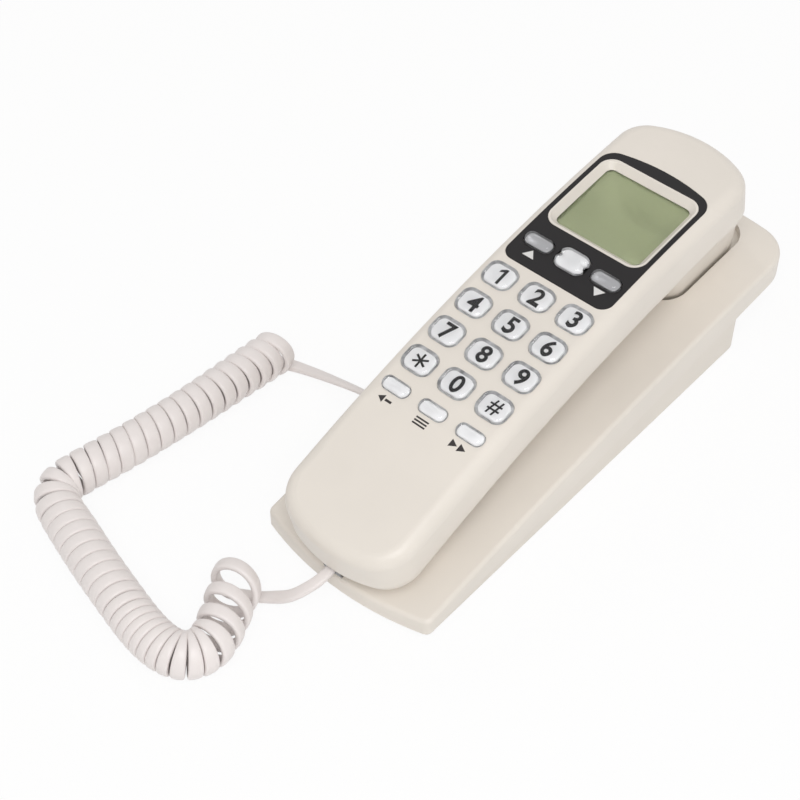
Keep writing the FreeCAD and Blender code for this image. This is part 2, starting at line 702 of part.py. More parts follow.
def make_base():
    save("base_top_cover", base_top_cover())
    save("base_bottom_shell", base_bottom_shell())
    save("base_circuit_board", base_board())
    save("hook_switch", hook_switch())
    save("hook_plunger", hook_plunger())
    save("line_socket", line_socket())
    mouth = Vector(BASE_SOCKET_FACE, BASE_SOCKET_Y, BASE_SOCKET_Z)
    save("base_cord_socket", placed(cord_socket(), Placement(mouth, INTO_BASE)))
    outside = Vector(-BASE_HALF_WIDTH - CORD_PLUG_PROUD, BASE_SOCKET_Y, BASE_SOCKET_Z)
    save("base_cord_plug", placed(cord_plug(CORD_PLUG_LENGTH), Placement(outside, INTO_BASE)))
    save("sounder", cylinder(SOUNDER_RADIUS, 0, SOUNDER_Y, FLOOR_TOP, FLOOR_TOP + SOUNDER_HEIGHT))
    for i, (x, y) in enumerate(FEET):
        save("base_foot_%d" % (i + 1), cylinder(FOOT_RADIUS, x, y, 0, FOOT_HEIGHT + FOOT_POCKET))
    for i, (x, y) in enumerate(BASE_SCREWS):
        save("base_screw_%d" % (i + 1), screw(x, y, FOOT_HEIGHT + SCREW_HEAD_SINK, SCREW_LENGTH))


# Keys: name, distance across, distance along the face, width, length, corner

DIAL_NAMES = (("star", "0", "hash"), ("7", "8", "9"), ("4", "5", "6"), ("1", "2", "3"))
LOWER_NAMES = ("delete", "set", "redial")
UPPER_NAMES = ("up", "out", "down")
DIAL_MIDDLE_ROW = (len(DIAL_NAMES) - 1) / 2


def key_list():
    keys = []
    for row, names in enumerate(DIAL_NAMES):
        for column, name in enumerate(names):
            place = ((column - 1) * KEY_COLUMN_PITCH, (row - DIAL_MIDDLE_ROW) * KEY_ROW_PITCH)
            keys.append((name, place, (KEY_WIDTH, KEY_LENGTH, KEY_CORNER)))
    for column, name in enumerate(LOWER_NAMES):
        place = ((column - 1) * KEY_COLUMN_PITCH, LOWER_ROW)
        keys.append((name, place, (LOWER_KEY_WIDTH, LOWER_KEY_LENGTH, LOWER_KEY_CORNER)))
    for column, name in enumerate(UPPER_NAMES):
        place = ((column - 1) * UPPER_COLUMN_PITCH, UPPER_ROW)
        size = (UPPER_KEY_WIDTH, UPPER_KEY_LENGTH, UPPER_KEY_CORNER)
        if name == "out":
            size = (WAIST_KEY_WIDTH, WAIST_KEY_LENGTH, WAIST_KEY_CORNER)
        keys.append((name, place, size))
    return keys


def key_place(place):
    across, along = place
    return face_frame(along).multiply(Placement(Vector(across, 0, 0), Rotation()))


FLANGE_TOP = -HANDSET_WALL - RUNNING_GAP
FLANGE_LOW = FLANGE_TOP - KEY_FLANGE_HEIGHT
STEM_LOW = FLANGE_LOW - KEY_STEM_LENGTH


def key_cap(name, size):
    """One key in its own frame, held by a flange at its near and far sides: the shell's face is at Z = 0."""
    width, length, corner = size
    cap = rounded_block(width / 2, length / 2, corner, FLANGE_LOW, KEY_PROUD)
    if name == "out":
        for side in (-1, 1):
            notch_x = side * (width / 2 + WAIST_NOTCH_RADIUS - WAIST_NOTCH_DEPTH)
            cap = cap.cut(cylinder(WAIST_NOTCH_RADIUS, notch_x, 0, FLANGE_TOP, KEY_PROUD + OVERCUT))
    rim = [e for e in cap.Edges if abs(e.BoundBox.ZMin - KEY_PROUD) < ROUNDING_TOLERANCE]
    cap = cap.makeFillet(KEY_EDGE_ROUND, rim)
    flange = rounded_block(
        width / 2 - KEY_FLANGE_INSET, length / 2 + KEY_FLANGE, KEY_FLANGE_CORNER, FLANGE_LOW, FLANGE_TOP)
    stem = cylinder(KEY_STEM_RADIUS, 0, 0, STEM_LOW, FLANGE_TOP)
    return cap.fuse(flange).fuse(stem).removeSplitter()


def key_hole(size):
    width, length, corner = size
    low = STEM_LOW - KEY_TRAVEL
    return rounded_block(width / 2 + KEY_GAP, length / 2 + KEY_GAP, corner + KEY_GAP, low, MARGIN)


# Handset pieces

def panel_block(shrink, top_depth, bottom_depth):
    plan = plan_prism(
        PANEL_HALF_WIDTH - shrink, PANEL_NEAR + shrink, PANEL_FAR - shrink, 0, PANEL_FAR_BOW,
        PANEL_NEAR_CORNER, PANEL_FAR_CORNER, -DEEP_MARGIN, MARGIN)
    return plan.common(arc_slab(top_depth, bottom_depth))


def on_display(shape):
    return placed(shape, face_frame(DISPLAY_CENTRE))


def bezel_island(grow):
    return on_display(rounded_block(
        BEZEL_HALF_WIDTH + grow, BEZEL_HALF_LENGTH + grow, BEZEL_CORNER + grow, -MARGIN, MARGIN))


def bezel_mouth():
    """Opening over the display, narrowing from the face to the window."""
    rim_width = BEZEL_HALF_WIDTH - BEZEL_RIM
    rim_length = BEZEL_HALF_LENGTH - BEZEL_RIM
    rim_corner = BEZEL_CORNER - BEZEL_RIM
    floor = rounded_rectangle(WINDOW_HALF_WIDTH, WINDOW_HALF_LENGTH, WINDOW_CORNER, -HANDSET_WALL)
    face = rounded_rectangle(rim_width, rim_length, rim_corner, 0)
    throat = Part.makeLoft([floor, face], True, True)
    above = rounded_block(rim_width, rim_length, rim_corner, 0, MARGIN)
    low = -HANDSET_WALL - OVERCUT
    below = rounded_block(WINDOW_HALF_WIDTH, WINDOW_HALF_LENGTH, WINDOW_CORNER, low, -HANDSET_WALL)
    return on_display(throat.fuse(above).fuse(below))


def post_places():
    """Posts that hold the circuit board, between the rows and columns of keys."""
    lower = ((-DIAL_MIDDLE_ROW * KEY_ROW_PITCH - KEY_LENGTH / 2) + (LOWER_ROW + LOWER_KEY_LENGTH / 2)) / 2
    upper = ((DIAL_MIDDLE_ROW * KEY_ROW_PITCH + KEY_LENGTH / 2) + (UPPER_ROW - WAIST_KEY_LENGTH / 2)) / 2
    return [(side * KEY_COLUMN_PITCH / 2, v) for v in (lower, upper) for side in (-1, 1)]


def handset_front_shell():
    shell = front_block(0, 0).cut(front_block(HANDSET_WALL, OVERCUT))
    for x, v in post_places():
        high = -HANDSET_WALL / 2 - face_drop(v)
        shell = shell.fuse(cylinder(POST_RADIUS, x, v, HANDSET_BOARD_TOP, high))
    for side in (-1, 1):
        x = side * HANDSET_SCREW_SPREAD
        low = arc_point(HANDSET_SCREW_V, FRONT_DEPTH).z
        high = -HANDSET_WALL / 2 - face_drop(HANDSET_SCREW_V)
        boss = cylinder(HANDSET_BOSS_RADIUS, x, HANDSET_SCREW_V, low, high)
        boss = boss.common(arc_slab(0, FRONT_DEPTH))
        pilot = cylinder(
            SCREW_RADIUS + SCREW_THREAD_CLEARANCE, x, HANDSET_SCREW_V,
            -GRIP_DEPTH - MARGIN, screw_tip() + OVERCUT)
        shell = shell.fuse(boss).cut(pilot)
    island = bezel_island(-PANEL_CLEARANCE)
    pocket = panel_block(0, -MARGIN / 2, PANEL_THICKNESS).cut(island)
    shell = shell.cut(pocket).cut(bezel_mouth())
    for _, place, size in key_list():
        shell = shell.cut(placed(key_hole(size), key_place(place)))
    return shell.removeSplitter()


def screw_head_low():
    return arc_point(HANDSET_SCREW_V, GRIP_DEPTH).z + SCREW_HEAD_SINK


def screw_tip():
    return screw_head_low() + HANDSET_SCREW_LENGTH


def display_panel():
    panel = panel_block(PANEL_CLEARANCE, 0, PANEL_THICKNESS).cut(bezel_island(0))
    for name, place, size in key_list():
        if name in UPPER_NAMES:
            panel = panel.cut(placed(key_hole(size), key_place(place)))
    return panel


def display_window():
    top = -HANDSET_WALL - DISPLAY_SEAT_GAP
    return on_display(rounded_block(
        WINDOW_HALF_WIDTH + WINDOW_LAP, WINDOW_HALF_LENGTH + WINDOW_LAP, WINDOW_CORNER,
        top - WINDOW_THICKNESS, top))


def lcd_module():
    top = -HANDSET_WALL - DISPLAY_SEAT_GAP - WINDOW_THICKNESS
    return on_display(rounded_block(
        WINDOW_HALF_WIDTH + LCD_LAP, WINDOW_HALF_LENGTH + LCD_LAP, WINDOW_CORNER / 2,
        top - LCD_THICKNESS, top))


def handset_back_shell():
    outer = grip_block(0, 0).fuse(under_parting(ear_cup(0, 0))).fuse(under_parting(mouth_cup(0, 0)))
    inner = grip_block(HANDSET_WALL, OVERCUT)
    inner = inner.fuse(ear_cup(-HANDSET_WALL, HANDSET_WALL)).fuse(mouth_cup(-HANDSET_WALL, HANDSET_WALL))
    shell = outer.cut(inner)
    for x, v in post_places():
        low = arc_point(v, GRIP_DEPTH - HANDSET_WALL / 2).z
        shell = shell.fuse(cylinder(POST_RADIUS, x, v, low, HANDSET_BOARD_TOP - BOARD_THICKNESS))
    for side in (-1, 1):
        x = side * HANDSET_SCREW_SPREAD
        low = arc_point(HANDSET_SCREW_V, GRIP_DEPTH).z
        boss = cylinder(HANDSET_BOSS_RADIUS, x, HANDSET_SCREW_V, low - MARGIN, -FRONT_DEPTH + MARGIN)
        boss = boss.common(arc_slab(FRONT_DEPTH, GRIP_DEPTH))
        hole = cylinder(SCREW_RADIUS + SCREW_HOLE_CLEARANCE, x, HANDSET_SCREW_V, low - MARGIN, 0)
        sink_top = screw_head_low() + SCREW_HEAD_HEIGHT
        sink_radius = SCREW_HEAD_RADIUS + SCREW_HOLE_CLEARANCE
        sink = cylinder(sink_radius, x, HANDSET_SCREW_V, low - MARGIN, sink_top)
        shell = shell.fuse(boss).cut(hole).cut(sink)
    for hole in sound_holes():
        shell = shell.cut(hole)
    plug_hole = box(
        (-PLUG_HOLE_HALF_WIDTH, PLUG_HOLE_HALF_WIDTH),
        (HANDSET_NEAR - MARGIN, HANDSET_SOCKET_V + HANDSET_WALL),
        (HANDSET_SOCKET_N - PLUG_HOLE_HALF_HEIGHT, HANDSET_SOCKET_N + PLUG_HOLE_HALF_HEIGHT))
    return shell.cut(plug_hole).removeSplitter()


def under_parting(shape):
    return shape.common(arc_slab(FRONT_DEPTH, FRONT_DEPTH + DEEP_MARGIN))


def beside_plug(mouth):
    """The microphone's place, to the right of the cord plug."""
    return mouth.multiply(Placement(Vector(MICROPHONE_X, 0, 0), Rotation()))


def sound_holes():
    """Seven holes under the earpiece and one under the microphone, square to the cups' floors."""
    ear = base_frame(EAR_FOOT_Y, EAR_SINK)
    mouth = beside_plug(base_frame(MOUTH_FOOT_Y, MOUTH_SINK))
    pin = cylinder(SOUND_HOLE_RADIUS, 0, 0, -OVERCUT, HANDSET_WALL + OVERCUT)
    holes = [placed(pin, ear), placed(pin, mouth)]
    for i in range(SOUND_HOLE_RING):
        angle = 2 * math.pi * i / SOUND_HOLE_RING
        place = Vector(SOUND_HOLE_SPACING * math.cos(angle), SOUND_HOLE_SPACING * math.sin(angle), 0)
        holes.append(placed(pin, ear.multiply(Placement(place, Rotation()))))
    return holes


def handset_board():
    return box(
        (-HANDSET_BOARD_HALF_WIDTH, HANDSET_BOARD_HALF_WIDTH), (HANDSET_BOARD_NEAR, HANDSET_BOARD_FAR),
        (HANDSET_BOARD_TOP - BOARD_THICKNESS, HANDSET_BOARD_TOP))


def keypad_mat():
    """Rubber mat with one dome under each key, its tops left clear of the pressed keys."""
    mat = box(
        (-HANDSET_BOARD_HALF_WIDTH + MAT_INSET, HANDSET_BOARD_HALF_WIDTH - MAT_INSET),
        (HANDSET_BOARD_NEAR + MAT_INSET, HANDSET_BOARD_FAR - MAT_INSET),
        (HANDSET_BOARD_TOP, HANDSET_BOARD_TOP + MAT_THICKNESS))
    for _, place, _ in key_list():
        stem_end = key_place(place).multVec(Vector(0, 0, STEM_LOW - KEY_TRAVEL - RUNNING_GAP))
        dome_top = stem_end.z - RUNNING_GAP
        mat = mat.fuse(cylinder(DOME_RADIUS, stem_end.x, stem_end.y, HANDSET_BOARD_TOP, dome_top))
    for x, v in post_places():
        hole = cylinder(POST_RADIUS + SHELL_CLEARANCE, x, v, HANDSET_BOARD_TOP - OVERCUT, 0)
        mat = mat.cut(hole)
    return mat.removeSplitter()


def make_handset():
    save("handset_front_shell", on_handset(handset_front_shell()))
    save("handset_back_shell", on_handset(handset_back_shell()))
    save("display_panel", on_handset(display_panel()))
    save("display_window", on_handset(display_window()))
    save("lcd_module", on_handset(lcd_module()))
    save("handset_circuit_board", on_handset(handset_board()))
    save("keypad_mat", on_handset(keypad_mat()))
    for side, name in ((-1, "handset_screw_left"), (1, "handset_screw_right")):
        x = side * HANDSET_SCREW_SPREAD
        save(name, on_handset(screw(x, HANDSET_SCREW_V, screw_head_low(), HANDSET_SCREW_LENGTH)))
    ear_floor = base_frame(EAR_FOOT_Y, EAR_SINK - HANDSET_WALL)
    gasket = cylinder(RECEIVER_RADIUS, 0, 0, 0, GASKET_THICKNESS)
    gasket = gasket.cut(cylinder(RECEIVER_RADIUS - GASKET_WIDTH, 0, 0, -OVERCUT, GASKET_THICKNESS + OVERCUT))
    save("earpiece_gasket", on_handset(placed(gasket, ear_floor)))
    receiver = cylinder(RECEIVER_RADIUS, 0, 0, GASKET_THICKNESS, GASKET_THICKNESS + RECEIVER_HEIGHT)
    save("earpiece_receiver", on_handset(placed(receiver, ear_floor)))
    mouth_floor = beside_plug(base_frame(MOUTH_FOOT_Y, MOUTH_SINK - HANDSET_WALL))
    boot = cylinder(MICROPHONE_RADIUS + BOOT_WALL, 0, 0, 0, BOOT_FLOOR + MICROPHONE_HEIGHT)
    boot = boot.cut(cylinder(MICROPHONE_RADIUS, 0, 0, BOOT_FLOOR, BOOT_FLOOR + MICROPHONE_HEIGHT + OVERCUT))
    boot = boot.cut(cylinder(SOUND_HOLE_RADIUS, 0, 0, -OVERCUT, BOOT_FLOOR + OVERCUT))
    save("microphone_boot", on_handset(placed(boot, mouth_floor)))
    capsule = cylinder(MICROPHONE_RADIUS, 0, 0, BOOT_FLOOR, BOOT_FLOOR + MICROPHONE_HEIGHT)
    save("microphone", on_handset(placed(capsule, mouth_floor)))
    mouth = Placement(Vector(0, HANDSET_SOCKET_V, HANDSET_SOCKET_N), Rotation())
    room = HANDSET_WALL + SHELL_CLEARANCE
    inside = grip_block(room, OVERCUT).fuse(mouth_cup(-room, room))
    save("handset_cord_socket", on_handset(placed(cord_socket(), mouth).common(inside)))
    plug_length = HANDSET_SOCKET_V - HANDSET_PLUG_END + CORD_SOCKET_DEPTH - PLUG_END_ROOM
    outside = Placement(Vector(0, HANDSET_PLUG_END, HANDSET_SOCKET_N), Rotation())
    save("handset_cord_plug", on_handset(placed(cord_plug(plug_length), outside)))
    for name, place, size in key_list():
        save("key_" + name, on_handset(placed(key_cap(name, size), key_place(place))))


# Cord

class CoilRoute:
    """Flat centre line of the coil: straight runs joined by tangent arcs, its turns counted along it."""

    def __init__(self):
        points = [Vector(x, y, 0) for x, y in COIL_ROUTE]
        self.pieces = []
        self.turns = 0.0
        start = points[0]
        for i in range(1, len(points) - 1):
            heading = (points[i] - points[i - 1]).normalize()
            leaving = (points[i + 1] - points[i]).normalize()
            bend = math.atan2(heading.cross(leaving).z, heading.dot(leaving))
            radius = COIL_BEND_RADII[i - 1]
            cut_back = radius * math.tan(abs(bend) / 2)
            bend_start = points[i] - heading * cut_back
            self.add(start, heading, 0.0, (bend_start - start).Length, COIL_RUN_PITCHES[i - 1])
            bend_length = radius * abs(bend)
            self.add(bend_start, heading, math.copysign(radius, bend), bend_length, COIL_BEND_PITCHES[i - 1])
            start = points[i] + leaving * cut_back
        self.add(start, leaving, 0.0, (points[-1] - start).Length, COIL_RUN_PITCHES[-1])

    def add(self, start, heading, radius, length, pitch):
        """One run, whose radius is 0, or one bend, whose radius is positive to the left."""
        self.pieces.append((start, heading, radius, self.turns, pitch))
        self.turns += length / pitch

    def at(self, turn):
        """Place and heading of the centre line after this many turns."""
        reached = [p for p in self.pieces if p[3] <= turn]
        start, heading, radius, first, pitch = reached[-1] if reached else self.pieces[0]
        along = (turn - first) * pitch
        if radius == 0:
            return start + heading * along, heading
        left = Vector(-heading.y, heading.x, 0)
        angle = along / radius
        place = start + left * (radius * (1 - math.cos(angle))) + heading * (radius * math.sin(angle))
        return place, heading * math.cos(angle) + left * math.sin(angle)


ROUTE = CoilRoute()


COIL_TURNS = round(ROUTE.turns)


def looseness(turn):
    """0 along most of the coil, rising to 1 over the last rings, which are looser and lean outwards."""
    return max(0.0, 1 - (COIL_TURNS - turn) / COIL_END_TURNS)


def coil_point(turn):
    """Point of the wire: left-handed, starting and ending underneath the coil."""
    centre, heading = ROUTE.at(turn)
    left = Vector(-heading.y, heading.x, 0)
    angle = 2 * math.pi * turn
    radius = COIL_RADIUS + COIL_END_GROWTH * looseness(turn)
    rise = 1 - math.cos(angle)
    lean = COIL_END_LEAN * looseness(turn) * rise / 2
    height = CORD_LIFT + CORD_DIAMETER / 2 + radius * rise
    return centre - left * (radius * math.sin(angle)) + heading * lean + Vector(0, 0, height)


def coil_direction(turn):
    return (coil_point(turn + TURN_STEP) - coil_point(turn - TURN_STEP)).normalize()


def biarc(start, start_way, end, end_way):
    """Two arcs, tangent to each other and to the ways at both ends."""
    chord = end - start
    ways = start_way + end_way
    a = 2 * (1 - start_way.dot(end_way))
    b = 2 * chord.dot(ways)
    c = -chord.dot(chord)
    reach = (-b + math.sqrt(b * b - 4 * a * c)) / (2 * a) if abs(a) > 1e-9 else -c / b
    joint = (start + end + (start_way - end_way) * reach) * 0.5
    return [arc_from(start, start_way, joint), arc_from(joint, None, end, end_way)]


def arc_from(start, way, end, end_way=None):
    """Arc from start to end that leaves along way, or arrives along end_way."""
    chord = end - start
    if way is None:
        way = end_way - chord * (2 * end_way.dot(chord) / chord.dot(chord))
        way = way * -1
    normal = way - chord * (way.dot(chord) / chord.dot(chord))
    if normal.Length < 1e-6:
        return line(start, end)
    normal.normalize()
    half_angle = math.acos(max(-1.0, min(1.0, way.dot(chord) / (way.Length * chord.Length))))
    rise = chord.Length / 2 * math.tan(half_angle / 2)
    return arc(start, (start + end) * 0.5 + normal * rise, end)


def tube(edges, start, way, diameter):
    ring = Part.Wire([Part.makeCircle(diameter / 2, start, way)])
    return Part.Wire(edges).makePipeShell([ring], True, False)


COIL_START = coil_point(0)
COIL_START_WAY = coil_direction(0)
COIL_END = coil_point(COIL_TURNS)
COIL_END_WAY = coil_direction(COIL_TURNS)
COIL_TAIL = COIL_START - COIL_START_WAY * CORD_DIAMETER
COIL_HEAD = COIL_END + COIL_END_WAY * CORD_DIAMETER


def coil():
    edges = [line(COIL_TAIL, COIL_START)]
    steps = 2 * COIL_TURNS
    for i in range(steps):
        first = i / 2
        last = (i + 1) / 2
        edges += biarc(coil_point(first), coil_direction(first), coil_point(last), coil_direction(last))
    edges.append(line(COIL_END, COIL_HEAD))
    length = sum(e.Length for e in edges)
    solid = tube(edges, COIL_TAIL, COIL_START_WAY, CORD_DIAMETER)
    expected = length * math.pi * CORD_DIAMETER ** 2 / 4
    print("coil: %d turns, %.0f mm of cord, volume ratio %.4f, least gap to itself %.2f mm" % (
        COIL_TURNS, length, solid.Volume / expected, least_gap()))
    return solid, length


def least_gap():
    """Smallest distance between neighbouring turns, less the cord's own thickness."""
    per_turn = POINTS_PER_TURN
    points = [coil_point(i / per_turn) for i in range(COIL_TURNS * per_turn + 1)]
    least = math.inf
    for i, p in enumerate(points):
        for other in points[i + per_turn // 2:i + 3 * per_turn]:
            least = min(least, p.distanceToPoint(other))
    return least - CORD_DIAMETER


def lead(name, points):
    """Round lead along straight runs joined by tangent arcs as large as the runs allow."""
    edges = []
    start = points[0]
    for i in range(1, len(points) - 1):
        before = points[i] - points[i - 1]
        after = points[i + 1] - points[i]
        turn = before.getAngle(after)
        shorter = min(before.Length, after.Length)
        radius = BEND_SHARE * shorter / math.tan(turn / 2)
        cut_back = BEND_SHARE * shorter
        print("%s: bend %d has a radius of %.1f mm" % (name, i, radius))
        arc_start = points[i] - before.normalize() * cut_back
        arc_end = points[i] + after.normalize() * cut_back
        inward = (after - before).normalize()
        middle = points[i] + inward * (radius / math.cos(turn / 2) - radius)
        edges.append(line(start, arc_start))
        edges.append(arc(arc_start, middle, arc_end))
        start = arc_end
    edges.append(line(start, points[-1]))
    length = sum(e.Length for e in edges)
    solid = tube(edges, points[0], points[1] - points[0], CORD_DIAMETER)
    expected = length * math.pi * CORD_DIAMETER ** 2 / 4
    print("%s: %.1f mm, volume ratio %.4f" % (name, length, solid.Volume / expected))
    save(name, solid)
    return length


def make_cord():
    solid, total = coil()
    save("cord_coil", solid)
    before_coil = COIL_TAIL - COIL_START_WAY * LEAD_COIL_RUN
    plug_end = Vector(-BASE_HALF_WIDTH - CORD_PLUG_PROUD, BASE_SOCKET_Y, BASE_SOCKET_Z)
    base_points = [plug_end, plug_end - Vector(LEAD_PLUG_RUN, 0, 0)]
    base_points += [Vector(*p) for p in BASE_LEAD_POINTS] + [before_coil, COIL_TAIL]
    total += lead("cord_base_lead", base_points)
    after_coil = COIL_HEAD + COIL_END_WAY * LEAD_COIL_RUN
    plug_axis = TILT.multVec(Vector(0, 1, 0))
    plug_back = HANDSET_PLACE.multVec(Vector(0, HANDSET_PLUG_END, HANDSET_SOCKET_N))
    handset_points = [COIL_HEAD, after_coil] + [Vector(*p) for p in HANDSET_LEAD_POINTS]
    handset_points += [plug_back - plug_axis * LEAD_PLUG_RUN, plug_back]
    total += lead("cord_handset_lead", handset_points)
    print("whole cord: %.0f mm" % total)


make_base()
make_handset()
make_cord()
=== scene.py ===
"""Corded desk telephone: cream shells from the CAD, clear keys with digits,
a recessed display and a flat curly cord.

Everything is made in metres, in the CAD frame. Lengths are written in millimetres,
as in the part's source, and MM turns them into metres.
"""
import math

import bmesh
import bpy
import numpy as np
from mathutils import Matrix, Vector


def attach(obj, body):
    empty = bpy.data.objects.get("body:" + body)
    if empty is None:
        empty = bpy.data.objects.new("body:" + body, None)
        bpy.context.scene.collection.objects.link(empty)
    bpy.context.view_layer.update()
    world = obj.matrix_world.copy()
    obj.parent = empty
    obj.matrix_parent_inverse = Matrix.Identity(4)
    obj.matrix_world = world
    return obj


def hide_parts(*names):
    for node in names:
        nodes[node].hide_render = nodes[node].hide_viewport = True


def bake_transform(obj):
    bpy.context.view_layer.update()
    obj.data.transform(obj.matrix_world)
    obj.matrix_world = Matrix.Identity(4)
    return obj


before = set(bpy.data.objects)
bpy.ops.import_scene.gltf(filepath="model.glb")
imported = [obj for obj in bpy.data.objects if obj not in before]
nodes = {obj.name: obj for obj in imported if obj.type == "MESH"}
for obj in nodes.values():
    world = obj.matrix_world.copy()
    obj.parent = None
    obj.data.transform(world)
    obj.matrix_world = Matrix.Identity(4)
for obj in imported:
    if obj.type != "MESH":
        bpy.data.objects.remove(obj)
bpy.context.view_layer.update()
MM = 0.001

# Camera, fitted to the photograph's perspective; angles in degrees
CAMERA_SENSOR = 36.0
CAMERA_LENS = 82.17
CAMERA_TARGET = (-27.5, -40.8, 21.0)
CAMERA_DISTANCE = 630.3
CAMERA_AZIMUTH = 41.3
CAMERA_ELEVATION = 48.0
CAMERA_CLIP_METRES = 20.0

# Lamps: name, place, aim and width in metres, power in watts
LAMPS = (
    ("key_light", (0.55, -0.62, 1.15), (0, -0.02, 0.03), 0.9, 8.9),
    ("left_light", (-0.75, 0.22, 0.85), (0, 0, 0.03), 0.2, 0.6),
    ("side_light", (1.1, 0.1, 0.7), (0, 0, 0.03), 0.8, 0.8),
)
SKY_COLOUR = (1.0, 0.985, 0.965, 1)
SKY_STRENGTH = 0.55
FLOOR_HALF_METRES = 3.0
FLOOR_COLOUR = (0.93, 0.93, 0.93, 1)
# Share of plain white in the floor where it is seen; the rest takes the shadow
FLOOR_WHITE = 0.9

# Handset frame, as in the part's source
KEYPAD_Y = -23.7
KEYPAD_Z = 56.4
HANDSET_TILT = math.radians(12.1)
FACE_RADIUS = 630.0

# Places of the keys on the handset's face
COLUMN_PITCH = 15.75
ROW_PITCH = 14.0
MIDDLE_COLUMN = 1
MIDDLE_ROW = 1.5
LOWER_ROW = -33.2
UPPER_ROW = 40.1
UPPER_COLUMN_PITCH = 14.2

# Outlines of the keys: width, length and corner radius
DIAL_KEY = (12.2, 10.2, 3.7)
LOWER_KEY = (11.0, 5.4, 2.5)
UPPER_KEY = (11.4, 5.6, 2.6)
WAIST_KEY = (12.0, 8.6, 3.2)
WAIST_NOTCH = (2.2, 1.1)
WAIST_CORNER_STEPS = 16
WAIST_SPACING = 0.2

# Clear cap, as insets from its outline and heights over the face:
# a foot in the opening, drafted sides and a rounded rim, then a domed top
KEY_FOOT = -1.3
KEY_PROUD = 2.0
CAP_PROFILE = (
    (0.0, KEY_FOOT), (0.0, 0.12), (0.06, 0.45), (0.16, 0.85), (0.34, 1.22),
    (0.62, 1.52), (0.98, 1.72), (1.38, 1.82), (1.8, 1.87),
)
DOME_SHARES = (0.85, 0.65, 0.45, 0.25)

# Plate and collar under a cap; the collar's grey is painted shade for the dark edges seen through
# the clear rim
PRINT_LEVEL = -0.1
PLATE_DEPTH = 0.5
DIAL_PLATE_INSET = 1.4
LOWER_PLATE_INSET = 1.0
UPPER_PLATE_INSET = 0.95
WAIST_PLATE_INSET = 1.0
COLLAR_LEVEL = -0.45
COLLAR_DEPTH = 0.4
COLLAR_INSET = 0.12
RIM_DROP = 0.12
RIM_INSET = 0.2

# Section of the lip round a key, as insets from the key's outline and heights
SURROUND_SECTION = ((-0.09, -0.5), (-0.42, -0.5), (-0.42, -0.02), (-0.09, -0.02))

# Print: heights in mm, weights and depth in shares of the font's size
PRINT_GAP = 0.01
PRINT_THICKNESS = 0.02
DIGIT_SHIFT = (0.4, -0.1)
DIGIT_SIZE = 6.5
DIGIT_WEIGHT = 0.022
HASH_SIZE = 5.6
HASH_WEIGHT = 0.004
STAR_BARS = 3
STAR_SIZE = 5.6
STAR_BAR_WIDTH = 0.8
GLYPH_DEPTH = 0.012
GLYPH_RESOLUTION = 6
PANEL_LABEL_ROW = 34.5
SHELL_LABEL_ROW = -38.9
LABEL_LIFT = 0.012

# Cord: width, thickness, radius of the rings and height of the wire under them
CORD_WIDTH = 4.7
CORD_THICKNESS = 2.3
CORD_RADIUS = 6.5
CORD_FOOT = 1.5


def face_matrix(across, along, lift=0.0):
    """Place on the handset's bowed face, Z outwards, in metres."""
    angle = along / FACE_RADIUS
    y = FACE_RADIUS * math.sin(angle)
    z = FACE_RADIUS * (math.cos(angle) - 1)
    place = Matrix.Translation((0, KEYPAD_Y * MM, KEYPAD_Z * MM))
    place = place @ Matrix.Rotation(HANDSET_TILT, 4, "X")
    place = place @ Matrix.Translation((across * MM, y * MM, z * MM))
    place = place @ Matrix.Rotation(-angle, 4, "X")
    return place @ Matrix.Translation((0, 0, lift * MM))


# Camera and light

def make_camera():
    camera = bpy.data.objects.new("camera", bpy.data.cameras.new("camera"))
    bpy.context.scene.collection.objects.link(camera)
    camera.data.sensor_width = CAMERA_SENSOR
    camera.data.lens = CAMERA_LENS
    camera.data.clip_end = CAMERA_CLIP_METRES
    target = Vector(CAMERA_TARGET) * MM
    azimuth = math.radians(CAMERA_AZIMUTH)
    elevation = math.radians(CAMERA_ELEVATION)
    back = Vector((math.sin(azimuth) * math.cos(elevation),
                   -math.cos(azimuth) * math.cos(elevation),
                   math.sin(elevation)))
    camera.location = target + back * (CAMERA_DISTANCE * MM)
    camera.rotation_euler = back.to_track_quat("Z", "Y").to_euler()
    bpy.context.scene.camera = camera


def area_light(name, place, aim, size, power):
    light = bpy.data.lights.new(name, "AREA")
    light.shape = "DISK"
    light.size = size
    light.energy = power
    lamp = bpy.data.objects.new(name, light)
    bpy.context.scene.collection.objects.link(lamp)
    lamp.location = place
    lamp.rotation_euler = (Vector(place) - Vector(aim)).to_track_quat("Z", "Y").to_euler()


def seen_rays(tree):
    """1 for camera, mirror and through-glass rays, which see a white studio."""
    path = tree.nodes.new("ShaderNodeLightPath")
    seen = path.outputs["Is Camera Ray"]
    for kind in ("Is Glossy Ray", "Is Transmission Ray"):
        either = tree.nodes.new("ShaderNodeMath")
        either.operation = "MAXIMUM"
        tree.links.new(seen, either.inputs[0])
        tree.links.new(path.outputs[kind], either.inputs[1])
        seen = either.outputs[0]
    return seen


def make_world():
    """Soft sky light; what is seen directly, mirrored or through glass is white."""
    world = bpy.data.worlds.new("studio")
    bpy.context.scene.world = world
    world.use_nodes = True
    tree = world.node_tree
    tree.nodes.clear()
    out = tree.nodes.new("ShaderNodeOutputWorld")
    mix = tree.nodes.new("ShaderNodeMixShader")
    soft = tree.nodes.new("ShaderNodeBackground")
    soft.inputs["Color"].default_value = SKY_COLOUR
    soft.inputs["Strength"].default_value = SKY_STRENGTH
    white = tree.nodes.new("ShaderNodeBackground")
    white.inputs["Color"].default_value = (1, 1, 1, 1)
    white.inputs["Strength"].default_value = 1.0
    tree.links.new(seen_rays(tree), mix.inputs[0])
    tree.links.new(soft.outputs[0], mix.inputs[1])
    tree.links.new(white.outputs[0], mix.inputs[2])
    tree.links.new(mix.outputs[0], out.inputs[0])


